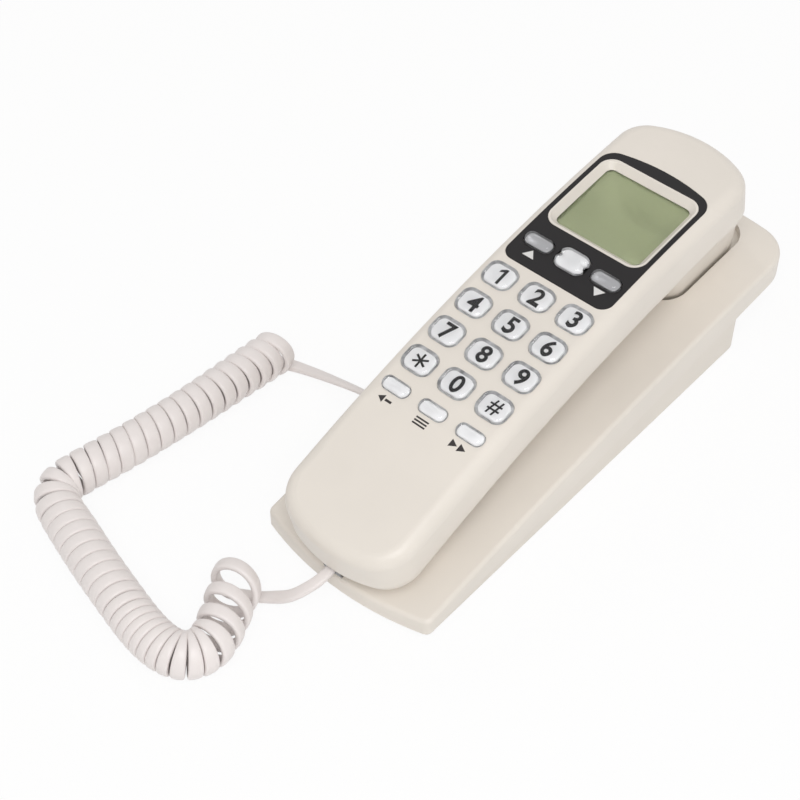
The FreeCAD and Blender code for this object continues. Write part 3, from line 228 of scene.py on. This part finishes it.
def make_floor():
    """White floor that keeps the object's shadow."""
    mesh = bpy.data.meshes.new("floor")
    half = FLOOR_HALF_METRES
    corners = [(-half, -half, 0), (half, -half, 0), (half, half, 0), (-half, half, 0)]
    mesh.from_pydata(corners, [], [(0, 1, 2, 3)])
    floor = bpy.data.objects.new("floor", mesh)
    bpy.context.scene.collection.objects.link(floor)
    material = bpy.data.materials.new("floor")
    material.use_nodes = True
    tree = material.node_tree
    tree.nodes.clear()
    out = tree.nodes.new("ShaderNodeOutputMaterial")
    mix = tree.nodes.new("ShaderNodeMixShader")
    paper = tree.nodes.new("ShaderNodeBsdfDiffuse")
    paper.inputs["Color"].default_value = FLOOR_COLOUR
    glow = tree.nodes.new("ShaderNodeEmission")
    glow.inputs["Strength"].default_value = 1.0
    share = tree.nodes.new("ShaderNodeMath")
    share.operation = "MULTIPLY"
    share.inputs[1].default_value = FLOOR_WHITE
    tree.links.new(seen_rays(tree), share.inputs[0])
    tree.links.new(share.outputs[0], mix.inputs[0])
    tree.links.new(paper.outputs[0], mix.inputs[1])
    tree.links.new(glow.outputs[0], mix.inputs[2])
    tree.links.new(mix.outputs[0], out.inputs[0])
    mesh.materials.append(material)


def make_studio():
    bpy.context.scene.view_settings.view_transform = "Standard"
    make_world()
    for name, place, aim, size, power in LAMPS:
        area_light(name, place, aim, size, power)
    make_floor()


# Materials

GRAIN_DETAIL = 3.0
DRIFT_DETAIL = 4.0
DRIFT_FROM = 0.3
DRIFT_TO = 0.7
PLASTIC_GLOSS_DRIFT = 0.06
RELIEF_METRES = 0.0002
RIPPLE_SCALE = 260.0
CLEAR_GLOSS_DRIFT = 0.02


def principled(name):
    material = bpy.data.materials.new(name)
    material.use_nodes = True
    shader = material.node_tree.nodes["Principled BSDF"]
    return material, material.node_tree, shader


def plastic(name, colour, roughness, grain=1600.0, bump=0.05, vary=0.03, shine=0.5, patch=22.0):
    """Moulded plastic: fine spark-eroded grain, slight drift in colour and gloss.

    grain and patch are the scales of the grain and of the drift, vary is how far the colour drifts.
    """
    material, tree, shader = principled(name)
    shader.inputs["Specular IOR Level"].default_value = shine
    where = tree.nodes.new("ShaderNodeTexCoord")
    fine = tree.nodes.new("ShaderNodeTexNoise")
    fine.inputs["Scale"].default_value = grain
    fine.inputs["Detail"].default_value = GRAIN_DETAIL
    drift = tree.nodes.new("ShaderNodeTexNoise")
    drift.inputs["Scale"].default_value = patch
    drift.inputs["Detail"].default_value = DRIFT_DETAIL
    tree.links.new(where.outputs["Object"], fine.inputs["Vector"])
    tree.links.new(where.outputs["Object"], drift.inputs["Vector"])
    ramp = tree.nodes.new("ShaderNodeValToRGB")
    ramp.color_ramp.elements[0].position = DRIFT_FROM
    ramp.color_ramp.elements[1].position = DRIFT_TO
    ramp.color_ramp.elements[0].color = [c * (1 - vary) for c in colour] + [1]
    ramp.color_ramp.elements[1].color = [min(1.0, c * (1 + vary)) for c in colour] + [1]
    tree.links.new(drift.outputs["Fac"], ramp.inputs["Fac"])
    tree.links.new(ramp.outputs["Color"], shader.inputs["Base Color"])
    gloss = tree.nodes.new("ShaderNodeMapRange")
    gloss.inputs["To Min"].default_value = roughness - PLASTIC_GLOSS_DRIFT
    gloss.inputs["To Max"].default_value = roughness + PLASTIC_GLOSS_DRIFT
    tree.links.new(fine.outputs["Fac"], gloss.inputs["Value"])
    tree.links.new(gloss.outputs["Result"], shader.inputs["Roughness"])
    relief = tree.nodes.new("ShaderNodeBump")
    relief.inputs["Strength"].default_value = bump
    relief.inputs["Distance"].default_value = RELIEF_METRES
    tree.links.new(fine.outputs["Fac"], relief.inputs["Height"])
    tree.links.new(relief.outputs["Normal"], shader.inputs["Normal"])
    return material


def clear(name, colour, ior, roughness):
    """Clear plastic with a slight drift in gloss."""
    material, tree, shader = principled(name)
    shader.inputs["Base Color"].default_value = (*colour, 1)
    shader.inputs["Transmission Weight"].default_value = 1.0
    shader.inputs["IOR"].default_value = ior
    where = tree.nodes.new("ShaderNodeTexCoord")
    ripple = tree.nodes.new("ShaderNodeTexNoise")
    ripple.inputs["Scale"].default_value = RIPPLE_SCALE
    tree.links.new(where.outputs["Object"], ripple.inputs["Vector"])
    gloss = tree.nodes.new("ShaderNodeMapRange")
    gloss.inputs["To Min"].default_value = max(0.0, roughness - CLEAR_GLOSS_DRIFT)
    gloss.inputs["To Max"].default_value = roughness + CLEAR_GLOSS_DRIFT
    tree.links.new(ripple.outputs["Fac"], gloss.inputs["Value"])
    tree.links.new(gloss.outputs["Result"], shader.inputs["Roughness"])
    return material


def metal(name, colour, roughness, grain=700.0):
    material = plastic(name, colour, roughness, grain, bump=0.03)
    material.node_tree.nodes["Principled BSDF"].inputs["Metallic"].default_value = 1.0
    return material


CREAM = plastic("cream_shell", (0.775, 0.725, 0.662), 0.38)
CREAM_LOW = plastic("cream_lower_shell", (0.765, 0.715, 0.65), 0.42)
CHARCOAL = plastic("charcoal_panel", (0.020, 0.0185, 0.0195), 0.45, 1100.0, 0.03, shine=0.18)
DISPLAY = plastic("display_glass_green", (0.445, 0.485, 0.300), 0.6, 2600.0, 0.01, 0.02, shine=0.1)
# An index well below a real window's (about 1.49), which reflects less over the display
WINDOW = clear("display_window", (1.0, 1.0, 1.0), 1.06, 0.02)
KEY_CLEAR = clear("key_clear", (0.985, 0.985, 0.99), 1.46, 0.03)
KEY_PLATE = plastic("key_silver_plate", (0.90, 0.90, 0.905), 0.4, 900.0, 0.02)
KEY_PLATE_DARK = metal("key_grey_plate", (0.40, 0.40, 0.41), 0.3, 900.0)
# Collars seen through the caps' rims: their grey is painted shade and their strong blotches are
# painted, uneven reflection in the rims; the darker one is painted shade round the upper keys
KEY_RIM_SHADE = plastic("key_grey_collar", (0.40, 0.40, 0.408), 0.35, 900.0, 0.02, 0.5, patch=420.0)
KEY_RIM_SHADE_DARK = plastic("key_dark_collar", (0.10, 0.10, 0.103), 0.35, 900.0, 0.02, 0.4,
                          patch=420.0)
KEY_INK = plastic("key_ink", (0.010, 0.009, 0.010), 0.6, shine=0.1)
PANEL_INK = plastic("panel_ink", (0.72, 0.71, 0.70), 0.5)
LABEL_INK = plastic("label_ink", (0.045, 0.04, 0.04), 0.6, shine=0.2)
CORD_VINYL = plastic("cord_vinyl", (0.805, 0.755, 0.74), 0.4, 800.0, 0.04)
BLACK = plastic("black_plastic", (0.03, 0.03, 0.03), 0.5)
RUBBER = plastic("rubber", (0.09, 0.09, 0.09), 0.8, 900.0, 0.1)
BOARD = plastic("board_lacquer", (0.03, 0.13, 0.06), 0.35)
STEEL = metal("screw_steel", (0.6, 0.6, 0.61), 0.3)
CAPSULE = metal("capsule", (0.55, 0.55, 0.56), 0.35)
PLUG_CLEAR = clear("plug_clear", (0.95, 0.95, 0.95), 1.49, 0.06)

NODE_LOOKS = {
    "base_top_cover": CREAM, "base_bottom_shell": CREAM_LOW, "handset_front_shell": CREAM,
    "handset_back_shell": CREAM, "hook_plunger": CREAM_LOW, "display_panel": CHARCOAL,
    "display_window": WINDOW, "lcd_module": DISPLAY, "base_circuit_board": BOARD,
    "handset_circuit_board": BOARD, "keypad_mat": RUBBER, "earpiece_gasket": RUBBER,
    "microphone_boot": RUBBER, "earpiece_receiver": CAPSULE, "microphone": CAPSULE,
    "hook_switch": BLACK, "line_socket": BLACK, "base_cord_socket": BLACK,
    "handset_cord_socket": CREAM_LOW, "sounder": BLACK, "base_cord_plug": PLUG_CLEAR,
    "handset_cord_plug": PLUG_CLEAR,
}


def look_of(name):
    if name in NODE_LOOKS:
        return NODE_LOOKS[name]
    if "foot" in name:
        return RUBBER
    if "screw" in name:
        return STEEL
    return CREAM


def dress_cad():
    for name, node in nodes.items():
        node.data.materials.clear()
        node.data.materials.append(look_of(name))


# Pieces

def piece(name, bm_or_mesh, material, body, smooth=True):
    """Object from a mesh, riding on a body where one is named."""
    if isinstance(bm_or_mesh, bmesh.types.BMesh):
        mesh = bpy.data.meshes.new(name)
        bmesh.ops.recalc_face_normals(bm_or_mesh, faces=bm_or_mesh.faces)
        bm_or_mesh.to_mesh(mesh)
        bm_or_mesh.free()
    else:
        mesh = bm_or_mesh
    for face in mesh.polygons:
        face.use_smooth = smooth
    mesh.materials.clear()
    mesh.materials.append(material)
    obj = bpy.data.objects.new(name, mesh)
    bpy.context.scene.collection.objects.link(obj)
    if body:
        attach(obj, body)
    return obj


def rounded_outline(width, length, corner, per_corner=10):
    """Points of a rounded rectangle round the origin, in mm, anticlockwise."""
    points = []
    for quarter, (sx, sy) in enumerate(((1, 1), (-1, 1), (-1, -1), (1, -1))):
        cx = sx * (width / 2 - corner)
        cy = sy * (length / 2 - corner)
        for i in range(per_corner + 1):
            angle = math.pi / 2 * (quarter + i / per_corner)
            points.append((cx + corner * math.cos(angle), cy + corner * math.sin(angle)))
    return points


def waist_outline(width, length, corner, notch_radius, notch_depth):
    """Rounded rectangle with a soft round bite out of its left and right sides."""
    points = []
    plain = rounded_outline(width, length, corner, WAIST_CORNER_STEPS)
    for x, y in dense_outline(plain, WAIST_SPACING):
        if abs(y) < notch_radius:
            bite = notch_depth * (math.cos(math.pi * y / notch_radius) + 1) / 2
            x = math.copysign(min(abs(x), width / 2 - bite), x)
        points.append((x, y))
    return points


def dense_outline(outline, spacing):
    """The outline with points added along its longer edges."""
    points = []
    for i, (x, y) in enumerate(outline):
        nx, ny = outline[(i + 1) % len(outline)]
        steps = max(1, round(math.hypot(nx - x, ny - y) / spacing))
        points += [(x + (nx - x) * k / steps, y + (ny - y) * k / steps) for k in range(steps)]
    return points


def shrunk(outline, inset):
    """The outline moved inwards along its normals."""
    n = len(outline)
    moved = []
    for i, (x, y) in enumerate(outline):
        ax, ay = outline[i - 1]
        bx, by = outline[(i + 1) % n]
        tx, ty = bx - ax, by - ay
        size = math.hypot(tx, ty) or 1.0
        moved.append((x - ty / size * inset, y + tx / size * inset))
    return moved


def inset_of(outline):
    """Gives the outline at an inset, moved inwards."""
    return lambda inset: shrunk(outline, inset)


def scaling_of(outline, half_width, half_length):
    """Gives the outline at an inset, scaled down, which suits one with hollow sides."""
    return lambda inset: [(x * (1 - inset / half_width), y * (1 - inset / half_length))
                          for x, y in outline]


def stacked_mesh(levels, place):
    """Closed body through outlines of (across, along) points at heights, in mm."""
    bm = bmesh.new()
    rings = []
    for outline, height in levels:
        rings.append([bm.verts.new(place @ Vector((x * MM, y * MM, height * MM)))
                      for x, y in outline])
    n = len(rings[0])
    for lower, upper in zip(rings, rings[1:]):
        for i in range(n):
            bm.faces.new((lower[i], lower[(i + 1) % n], upper[(i + 1) % n], upper[i]))
    bm.faces.new(rings[-1])
    bm.faces.new(list(reversed(rings[0])))
    return bm


def key_cap_mesh(rings_at, place):
    """Clear cap with a gently domed top; rings_at(inset) gives its outline at an inset."""
    levels = [(rings_at(inset), height) for inset, height in CAP_PROFILE]
    rim, low = levels[-1]
    for share in DOME_SHARES:
        height = low + (KEY_PROUD - low) * (1 - share * share)
        levels.append(([(x * share, y * share) for x, y in rim], height))
    return stacked_mesh(levels, place)


def plate_mesh(rings_at, inset, place, height, depth):
    """Thin plate with a softly sunk rim, under the clear cap."""
    levels = [(rings_at(inset), height - depth),
              (rings_at(inset), height - RIM_DROP),
              (rings_at(inset + RIM_INSET), height)]
    return stacked_mesh(levels, place)


def text_mesh(body, size, weight):
    """Outline of a digit as a thin solid, centred on the origin, size in mm of its height."""
    curve = bpy.data.curves.new("glyph", "FONT")
    curve.body = body
    curve.size = 1.0
    curve.extrude = GLYPH_DEPTH
    curve.offset = weight
    curve.resolution_u = GLYPH_RESOLUTION
    holder = bpy.data.objects.new("glyph", curve)
    bpy.context.scene.collection.objects.link(holder)
    bpy.context.view_layer.update()
    shown = holder.evaluated_get(bpy.context.evaluated_depsgraph_get())
    mesh = bpy.data.meshes.new_from_object(shown)
    bpy.data.objects.remove(holder)
    bpy.data.curves.remove(curve)
    co = np.array([v.co for v in mesh.vertices])
    low, high = co.min(0), co.max(0)
    scale = size * MM / (high[1] - low[1])
    middle = (low + high) / 2
    for v in mesh.vertices:
        v.co = (Vector(v.co) - Vector((middle[0], middle[1], low[2]))) * scale
    return mesh


def put_glyph(name, body_name, glyph, size, place, material, weight):
    mesh = text_mesh(glyph, size, weight)
    mesh.transform(place)
    return piece(name, mesh, material, body_name, smooth=False)


def icon_mesh(polygons, place, thickness):
    """Thin printed shapes, each a list of (across, along) points in mm."""
    bm = bmesh.new()
    for polygon in polygons:
        low = [bm.verts.new(place @ Vector((x * MM, y * MM, 0))) for x, y in polygon]
        high = [bm.verts.new(place @ Vector((x * MM, y * MM, thickness * MM)))
                for x, y in polygon]
        n = len(polygon)
        bm.faces.new(high)
        for i in range(n):
            bm.faces.new((low[i], low[(i + 1) % n], high[(i + 1) % n], high[i]))
        bm.faces.new(list(reversed(low)))
    return bm


def bar(x0, y0, x1, y1):
    return [(x0, y0), (x1, y0), (x1, y1), (x0, y1)]


def ray_bars(count, length, width):
    """A star of bars through the origin."""
    shapes = []
    for i in range(count):
        angle = math.pi * (i / count + 0.5)
        along = Vector((math.cos(angle), math.sin(angle))) * length / 2
        across = Vector((-math.sin(angle), math.cos(angle))) * width / 2
        corners = (-along - across, along - across, along + across, -along + across)
        shapes.append([tuple(p) for p in corners])
    return shapes


# Keys and their print

DIAL = (("star", "0", "hash"), ("7", "8", "9"), ("4", "5", "6"), ("1", "2", "3"))
ONE = [[(0.15, -3.2), (1.25, -3.2), (1.25, 3.2), (0.45, 3.2),
        (-1.35, 2.0), (-1.35, 0.95), (0.15, 1.75)]]
DRAWN_MARKS = {"1": ONE, "star": ray_bars(STAR_BARS, STAR_SIZE, STAR_BAR_WIDTH)}

# Pictograms: name, place across the handset and polygons
PANEL_LABELS = (
    ("up", -13.6, [[(-2.4, -1.5), (2.4, -1.5), (0, 1.7)]]),
    ("down", 14.7, [[(-2.4, 1.5), (2.4, 1.5), (0, -1.7)]]),
)
SHELL_LABELS = (
    ("delete", -16.0, [[(-2.8, 0), (-0.4, -1.5), (-0.4, 1.5)], bar(0.2, -0.45, 2.8, 0.45)]),
    ("set", -0.6, [bar(-2.6, 0.85, 2.6, 1.45), bar(-2.6, -0.3, 2.6, 0.3),
                   bar(-2.6, -1.45, 2.6, -0.85)]),
    ("redial", 15.2, [[(-3.2, -1.5), (-0.4, 0), (-3.2, 1.5)],
                      [(0.2, -1.5), (3.0, 0), (0.2, 1.5)]]),
)


def make_keys():
    ringed = []
    dial_outline = rounded_outline(*DIAL_KEY)
    for row, names in enumerate(DIAL):
        for column, name in enumerate(names):
            place = face_matrix((column - MIDDLE_COLUMN) * COLUMN_PITCH,
                                (row - MIDDLE_ROW) * ROW_PITCH)
            make_key(name, inset_of(dial_outline), DIAL_PLATE_INSET, place, KEY_PLATE, KEY_RIM_SHADE)
            ringed.append((dial_outline, place))
            print_key(name, place)
    lower_outline = rounded_outline(*LOWER_KEY)
    for column, name in enumerate(("delete", "set", "redial")):
        place = face_matrix((column - MIDDLE_COLUMN) * COLUMN_PITCH, LOWER_ROW)
        make_key(name, inset_of(lower_outline), LOWER_PLATE_INSET, place, KEY_PLATE, KEY_RIM_SHADE)
        ringed.append((lower_outline, place))
    make_surrounds(ringed)
    upper_outline = rounded_outline(*UPPER_KEY)
    waist = scaling_of(waist_outline(*WAIST_KEY, *WAIST_NOTCH), WAIST_KEY[0] / 2, WAIST_KEY[1] / 2)
    for column, name in enumerate(("up", "out", "down")):
        place = face_matrix((column - MIDDLE_COLUMN) * UPPER_COLUMN_PITCH, UPPER_ROW)
        if name == "out":
            make_key(name, waist, WAIST_PLATE_INSET, place, KEY_PLATE, KEY_RIM_SHADE)
        else:
            make_key(name, inset_of(upper_outline), UPPER_PLATE_INSET, place,
                     KEY_PLATE_DARK, KEY_RIM_SHADE_DARK)


def make_key(name, rings_at, plate_inset, place, plate_look, rim_shade_look):
    """Clear cap over a plate that carries the print and a lower, wider collar, whose grey is
    painted shade for the dark edges seen through the cap's rim.
    """
    body = "key_" + name
    cap = piece("key_%s_cap" % name, key_cap_mesh(rings_at, place), KEY_CLEAR, body)
    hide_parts(body)
    plate_bm = plate_mesh(rings_at, plate_inset, place, PRINT_LEVEL, PLATE_DEPTH)
    plate = piece("key_%s_plate" % name, plate_bm, plate_look, body)
    rim_shade_bm = plate_mesh(rings_at, COLLAR_INSET, place, COLLAR_LEVEL, COLLAR_DEPTH)
    rim_shade = piece("key_%s_collar" % name, rim_shade_bm, rim_shade_look, body)


def print_key(name, place):
    """Digit, star or hash on a dial key's plate."""
    body = "key_" + name
    across, along = DIGIT_SHIFT
    inked = place @ Matrix.Translation((across * MM, along * MM, (PRINT_LEVEL + PRINT_GAP) * MM))
    if name in DRAWN_MARKS:
        ink = icon_mesh(DRAWN_MARKS[name], inked, PRINT_THICKNESS)
        mark = piece("key_%s_print" % name, ink, KEY_INK, body, smooth=False)
    else:
        glyph, size, weight = name, DIGIT_SIZE, DIGIT_WEIGHT
        if name == "hash":
            glyph, size, weight = "#", HASH_SIZE, HASH_WEIGHT
        mark = put_glyph("key_%s_print" % name, body, glyph, size, inked, KEY_INK, weight)


def make_surrounds(places):
    """Thin lips of the shell that close the openings round the dial and lower keys."""
    bm = bmesh.new()
    for outline, place in places:
        rings = []
        for inset, height in SURROUND_SECTION:
            ring = shrunk(outline, inset)
            rings.append([bm.verts.new(place @ Vector((x * MM, y * MM, height * MM)))
                          for x, y in ring])
        n = len(outline)
        for low, high in zip(rings, rings[1:] + rings[:1]):
            for i in range(n):
                bm.faces.new((low[i], low[(i + 1) % n], high[(i + 1) % n], high[i]))
    lips = piece("key_surrounds", bm, CREAM, "handset", smooth=False)


def make_labels():
    """Plain pictograms beside the function keys, printed on the panel and on the shell."""
    for name, across, shapes in PANEL_LABELS:
        ink = icon_mesh(shapes, face_matrix(across, PANEL_LABEL_ROW, LABEL_LIFT), PRINT_THICKNESS)
        mark = piece("label_" + name, ink, PANEL_INK, "handset", smooth=False)
    for name, across, shapes in SHELL_LABELS:
        ink = icon_mesh(shapes, face_matrix(across, SHELL_LABEL_ROW, LABEL_LIFT), PRINT_THICKNESS)
        mark = piece("label_" + name, ink, LABEL_INK, "handset", smooth=False)


# Cord

# Control points of the coil's axis on the floor, and of the leads at its ends
COIL_ROUTE = [
    (-84.5, -42.6, 0), (-86.4, -61.0, 0), (-88.0, -82.0, 0), (-91.8, -110.0, 0),
    (-95.3, -128.0, 0), (-96.6, -138.2, 0), (-91.0, -144.2, 0), (-79.5, -147.6, 0),
    (-62.0, -152.8, 0), (-45.4, -157.0, 0), (-31.8, -160.2, 0), (-21.4, -161.0, 0),
    (-14.0, -158.6, 0), (-11.0, -152.2, 0), (-12.6, -145.2, 0), (-17.2, -136.2, 0),
    (-22.0, -127.0, 0)]
BASE_LEAD = [(-36.7, -39.5, 10.7), (-40.2, -39.5, 10.7), (-46.6, -39.5, 10.3),
             (-57.6, -39.6, 7.4), (-69.0, -39.2, 3.5)]
HANDSET_LEAD = [(-12.8, -121.2, 2.5), (-5.8, -119.4, 7.1), (-1.3, -113.7, 11.5),
                (0.0, -109.03, 13.15), (0.0, -105.608, 13.886)]

# Along the coil, as (share of its length, mm): spacing of the rings, how far they lean at
# their sides and tops, and how much wider the rings and the flat band are
RING_PITCH = [(0, 5.0), (0.1, 5.2), (0.33, 5.2), (0.38, 5.3), (0.45, 5.1), (0.70, 4.8),
              (0.75, 3.2), (0.865, 3.1), (0.90, 6.2), (1, 7.4)]
SIDE_LEAN = [(0, 3.2), (0.06, 2.7), (0.15, 1.2), (0.3, -0.8), (0.36, -0.8), (0.45, 0), (1, 0)]
TOP_LEAN = [(0, 0), (0.93, 0), (1, 5.6)]
RING_GROWTH = [(0, 0.35), (0.05, 0.25), (0.3, 0), (0.45, 0.1), (0.55, 0.5), (0.85, 0.2), (1, 1.3)]
BAND_GROWTH = [(0, 0.3), (0.08, 0.5), (0.32, 0.5), (0.36, 0.2), (0.44, 0.4), (0.7, 0.4),
               (0.75, 2.2), (0.86, 2.2), (0.9, -0.1), (1, 0.4)]
# The band's width keeps to this share of the room between rings, and to this least width
BAND_FIT = 0.98
BAND_LEAST = 1.8

# Points read from the splines, per span, and along the coil, per turn
COIL_RESOLUTION = 60
LEAD_RESOLUTION = 12
AXIS_SAMPLES = 2400
TURN_POINTS = 40
WIDTH_SMOOTHING = 4

# Leads: straight run where they meet the coil, the way their flat side faces at the far end,
# how that way changes from one end to the other, and their width there as a share of the cord's
LEAD_RUN = 6.0
BASE_LEAD_SIDE = (0.0, -0.62, 0.78)
BASE_LEAD_TWIST = (1.25, -0.1)
BASE_LEAD_WIDTH = 0.8
HANDSET_LEAD_SIDE = (-0.97, 0.2, 0.12)
HANDSET_LEAD_TWIST = (-0.1, 1.1)
HANDSET_LEAD_WIDTH = 0.75

# Flat cross-section with round edges, kept off the floor
SECTION_POINTS = 16
SECTION_POWER = 0.6
FLOOR_GAP = 0.05
# Turns of the coil, from its end, to the point whose index cord_path gives
LIFTED_TURNS = 9


def spline_points(points, resolution):
    """Points along a smooth curve with these control points, in mm."""
    curve = bpy.data.curves.new("route", "CURVE")
    curve.dimensions = "3D"
    curve.resolution_u = resolution
    spline = curve.splines.new("NURBS")
    spline.points.add(len(points) - 1)
    for target, point in zip(spline.points, points):
        target.co = (*point, 1)
    spline.order_u = 3
    spline.use_endpoint_u = True
    holder = bpy.data.objects.new("route", curve)
    mesh = bpy.data.meshes.new_from_object(holder)
    line = np.array([v.co for v in mesh.vertices], float)
    bpy.data.meshes.remove(mesh)
    bpy.data.objects.remove(holder)
    bpy.data.curves.remove(curve)
    return line


def unit(v):
    return v / np.maximum(np.linalg.norm(v, axis=-1, keepdims=True), 1e-12)


def profile(share, table):
    """Values at shares of the coil's length, from a table of (share, value)."""
    return np.interp(share, *zip(*table))


def coil_frames():
    """Points of the wire along the coil, the way its width runs there, its width, and the turns."""
    axis = spline_points(COIL_ROUTE, COIL_RESOLUTION)
    along = np.concatenate([[0], np.cumsum(np.linalg.norm(np.diff(axis, axis=0), axis=1))])
    s = np.linspace(0, along[-1], AXIS_SAMPLES)
    axis = np.stack([np.interp(s, along, axis[:, k]) for k in range(3)], axis=1)
    heading = unit(np.gradient(axis, s, axis=0))
    pitch = profile(s / s[-1], RING_PITCH)
    turns = np.concatenate([[0], np.cumsum(np.diff(s) / ((pitch[1:] + pitch[:-1]) / 2))])
    count = round(turns[-1])
    turns *= count / turns[-1]
    at = np.linspace(0, count, count * TURN_POINTS + 1)
    here = np.interp(at, turns, s)
    share = here / s[-1]
    centre = np.stack([np.interp(here, s, axis[:, k]) for k in range(3)], axis=1)
    ahead = unit(np.stack([np.interp(here, s, heading[:, k]) for k in range(3)], axis=1))
    left = np.stack([-ahead[:, 1], ahead[:, 0], np.zeros(len(at))], axis=1)
    up = np.array([0.0, 0.0, 1.0])
    angle = 2 * math.pi * at
    rise = 1 - np.cos(angle)
    radius = CORD_RADIUS + profile(share, RING_GROWTH)
    top_lean = profile(share, TOP_LEAN)
    side_lean = profile(share, SIDE_LEAN)
    wire = (centre - left * (radius * np.sin(angle))[:, None]
            + up * (CORD_FOOT + radius * rise)[:, None]
            + ahead * (top_lean * rise / 2 + side_lean * np.sin(angle))[:, None])
    outward = unit(-left * np.sin(angle)[:, None] - up * np.cos(angle)[:, None])
    slope = (side_lean * np.sin(angle) - top_lean * np.cos(angle) / 2) / radius
    side = unit(ahead - outward * slope[:, None])
    stretch = np.sqrt(1 + slope * slope)
    # A band is as wide as the nearer of the rings before and after it leaves room for
    step = np.linalg.norm(wire[TURN_POINTS:] - wire[:-TURN_POINTS], axis=1) * BAND_FIT
    room = np.minimum(np.append(step, np.full(TURN_POINTS, step[-1])),
                      np.append(np.full(TURN_POINTS, step[0]), step))
    widest = CORD_WIDTH + profile(share, BAND_GROWTH)
    width = np.clip(room, BAND_LEAST, widest) * stretch
    window = 2 * WIDTH_SMOOTHING + 1
    width = np.convolve(np.pad(width, WIDTH_SMOOTHING, mode="edge"), np.ones(window) / window,
                        mode="valid")
    return wire, side, width, count


def cord_path():
    """Points, flat sides and widths of the whole cord, and the index of the point LIFTED_TURNS
    turns from the coil's end.
    """
    wire, side, width, count = coil_frames()
    first_way = unit(wire[1] - wire[0])
    last_way = unit(wire[-1] - wire[-2])
    start = spline_points(BASE_LEAD + [tuple(wire[0] - first_way * LEAD_RUN), tuple(wire[0])],
                          LEAD_RESOLUTION)
    end = spline_points([tuple(wire[-1]), tuple(wire[-1] + last_way * LEAD_RUN)] + HANDSET_LEAD,
                        LEAD_RESOLUTION)
    n_start, n_end = len(start), len(end)
    share = np.clip(np.linspace(*BASE_LEAD_TWIST, n_start), 0, 1)[:, None]
    side_start = unit(unit(np.array(BASE_LEAD_SIDE)) * share + side[0] * (1 - share))
    share = np.clip(np.linspace(*HANDSET_LEAD_TWIST, n_end), 0, 1)[:, None]
    side_end = unit(side[-1] * (1 - share) + np.array(HANDSET_LEAD_SIDE) * share)
    width_start = np.linspace(CORD_WIDTH * BASE_LEAD_WIDTH, width[0], n_start)
    width_end = np.linspace(width[-1], CORD_WIDTH * HANDSET_LEAD_WIDTH, n_end)
    path = np.concatenate([start[:-1], wire, end[1:]])
    sides = np.concatenate([side_start[:-1], side, side_end[1:]])
    widths = np.concatenate([width_start[:-1], width, width_end[1:]])
    return path, sides, widths, n_start - 1 + (count - LIFTED_TURNS) * TURN_POINTS


def cord_section():
    """Cross-section of the cord, one wide and one thick: shares across and through it."""
    across, through = [], []
    for i in range(SECTION_POINTS):
        angle = 2 * math.pi * i / SECTION_POINTS
        c, s = math.cos(angle), math.sin(angle)
        across.append(math.copysign(abs(c) ** SECTION_POWER, c) / 2)
        through.append(math.copysign(abs(s) ** SECTION_POWER, s) / 2)
    return np.array(across)[None, :, None], np.array(through)[None, :, None]


def make_cord():
    """One mesh along the whole cord."""
    path, sides, widths, hold = cord_path()
    way = unit(np.gradient(path, axis=0))
    sides = unit(sides - way * (sides * way).sum(1)[:, None])
    thick = np.cross(way, sides)
    across, through = cord_section()
    verts = (path[:, None, :] + sides[:, None, :] * across * widths[:, None, None]
             + thick[:, None, :] * through * CORD_THICKNESS).reshape(-1, 3)
    n = len(path)
    around = SECTION_POINTS
    faces = []
    for i in range(n - 1):
        for k in range(around):
            a = i * around + k
            b = i * around + (k + 1) % around
            faces.append((a, b, b + around, a + around))
    faces.append(tuple(reversed(range(around))))
    faces.append(tuple((n - 1) * around + k for k in range(around)))
    verts[:, 2] = np.maximum(verts[:, 2], FLOOR_GAP)
    mesh = bpy.data.meshes.new("cord")
    mesh.from_pydata((verts * MM).tolist(), [], faces)
    cord = piece("cord", mesh, CORD_VINYL, None)
    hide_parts("cord_base_lead", "cord_coil", "cord_handset_lead")
    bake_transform(cord)


make_camera()
make_studio()
dress_cad()
make_cord()
make_keys()
make_labels()
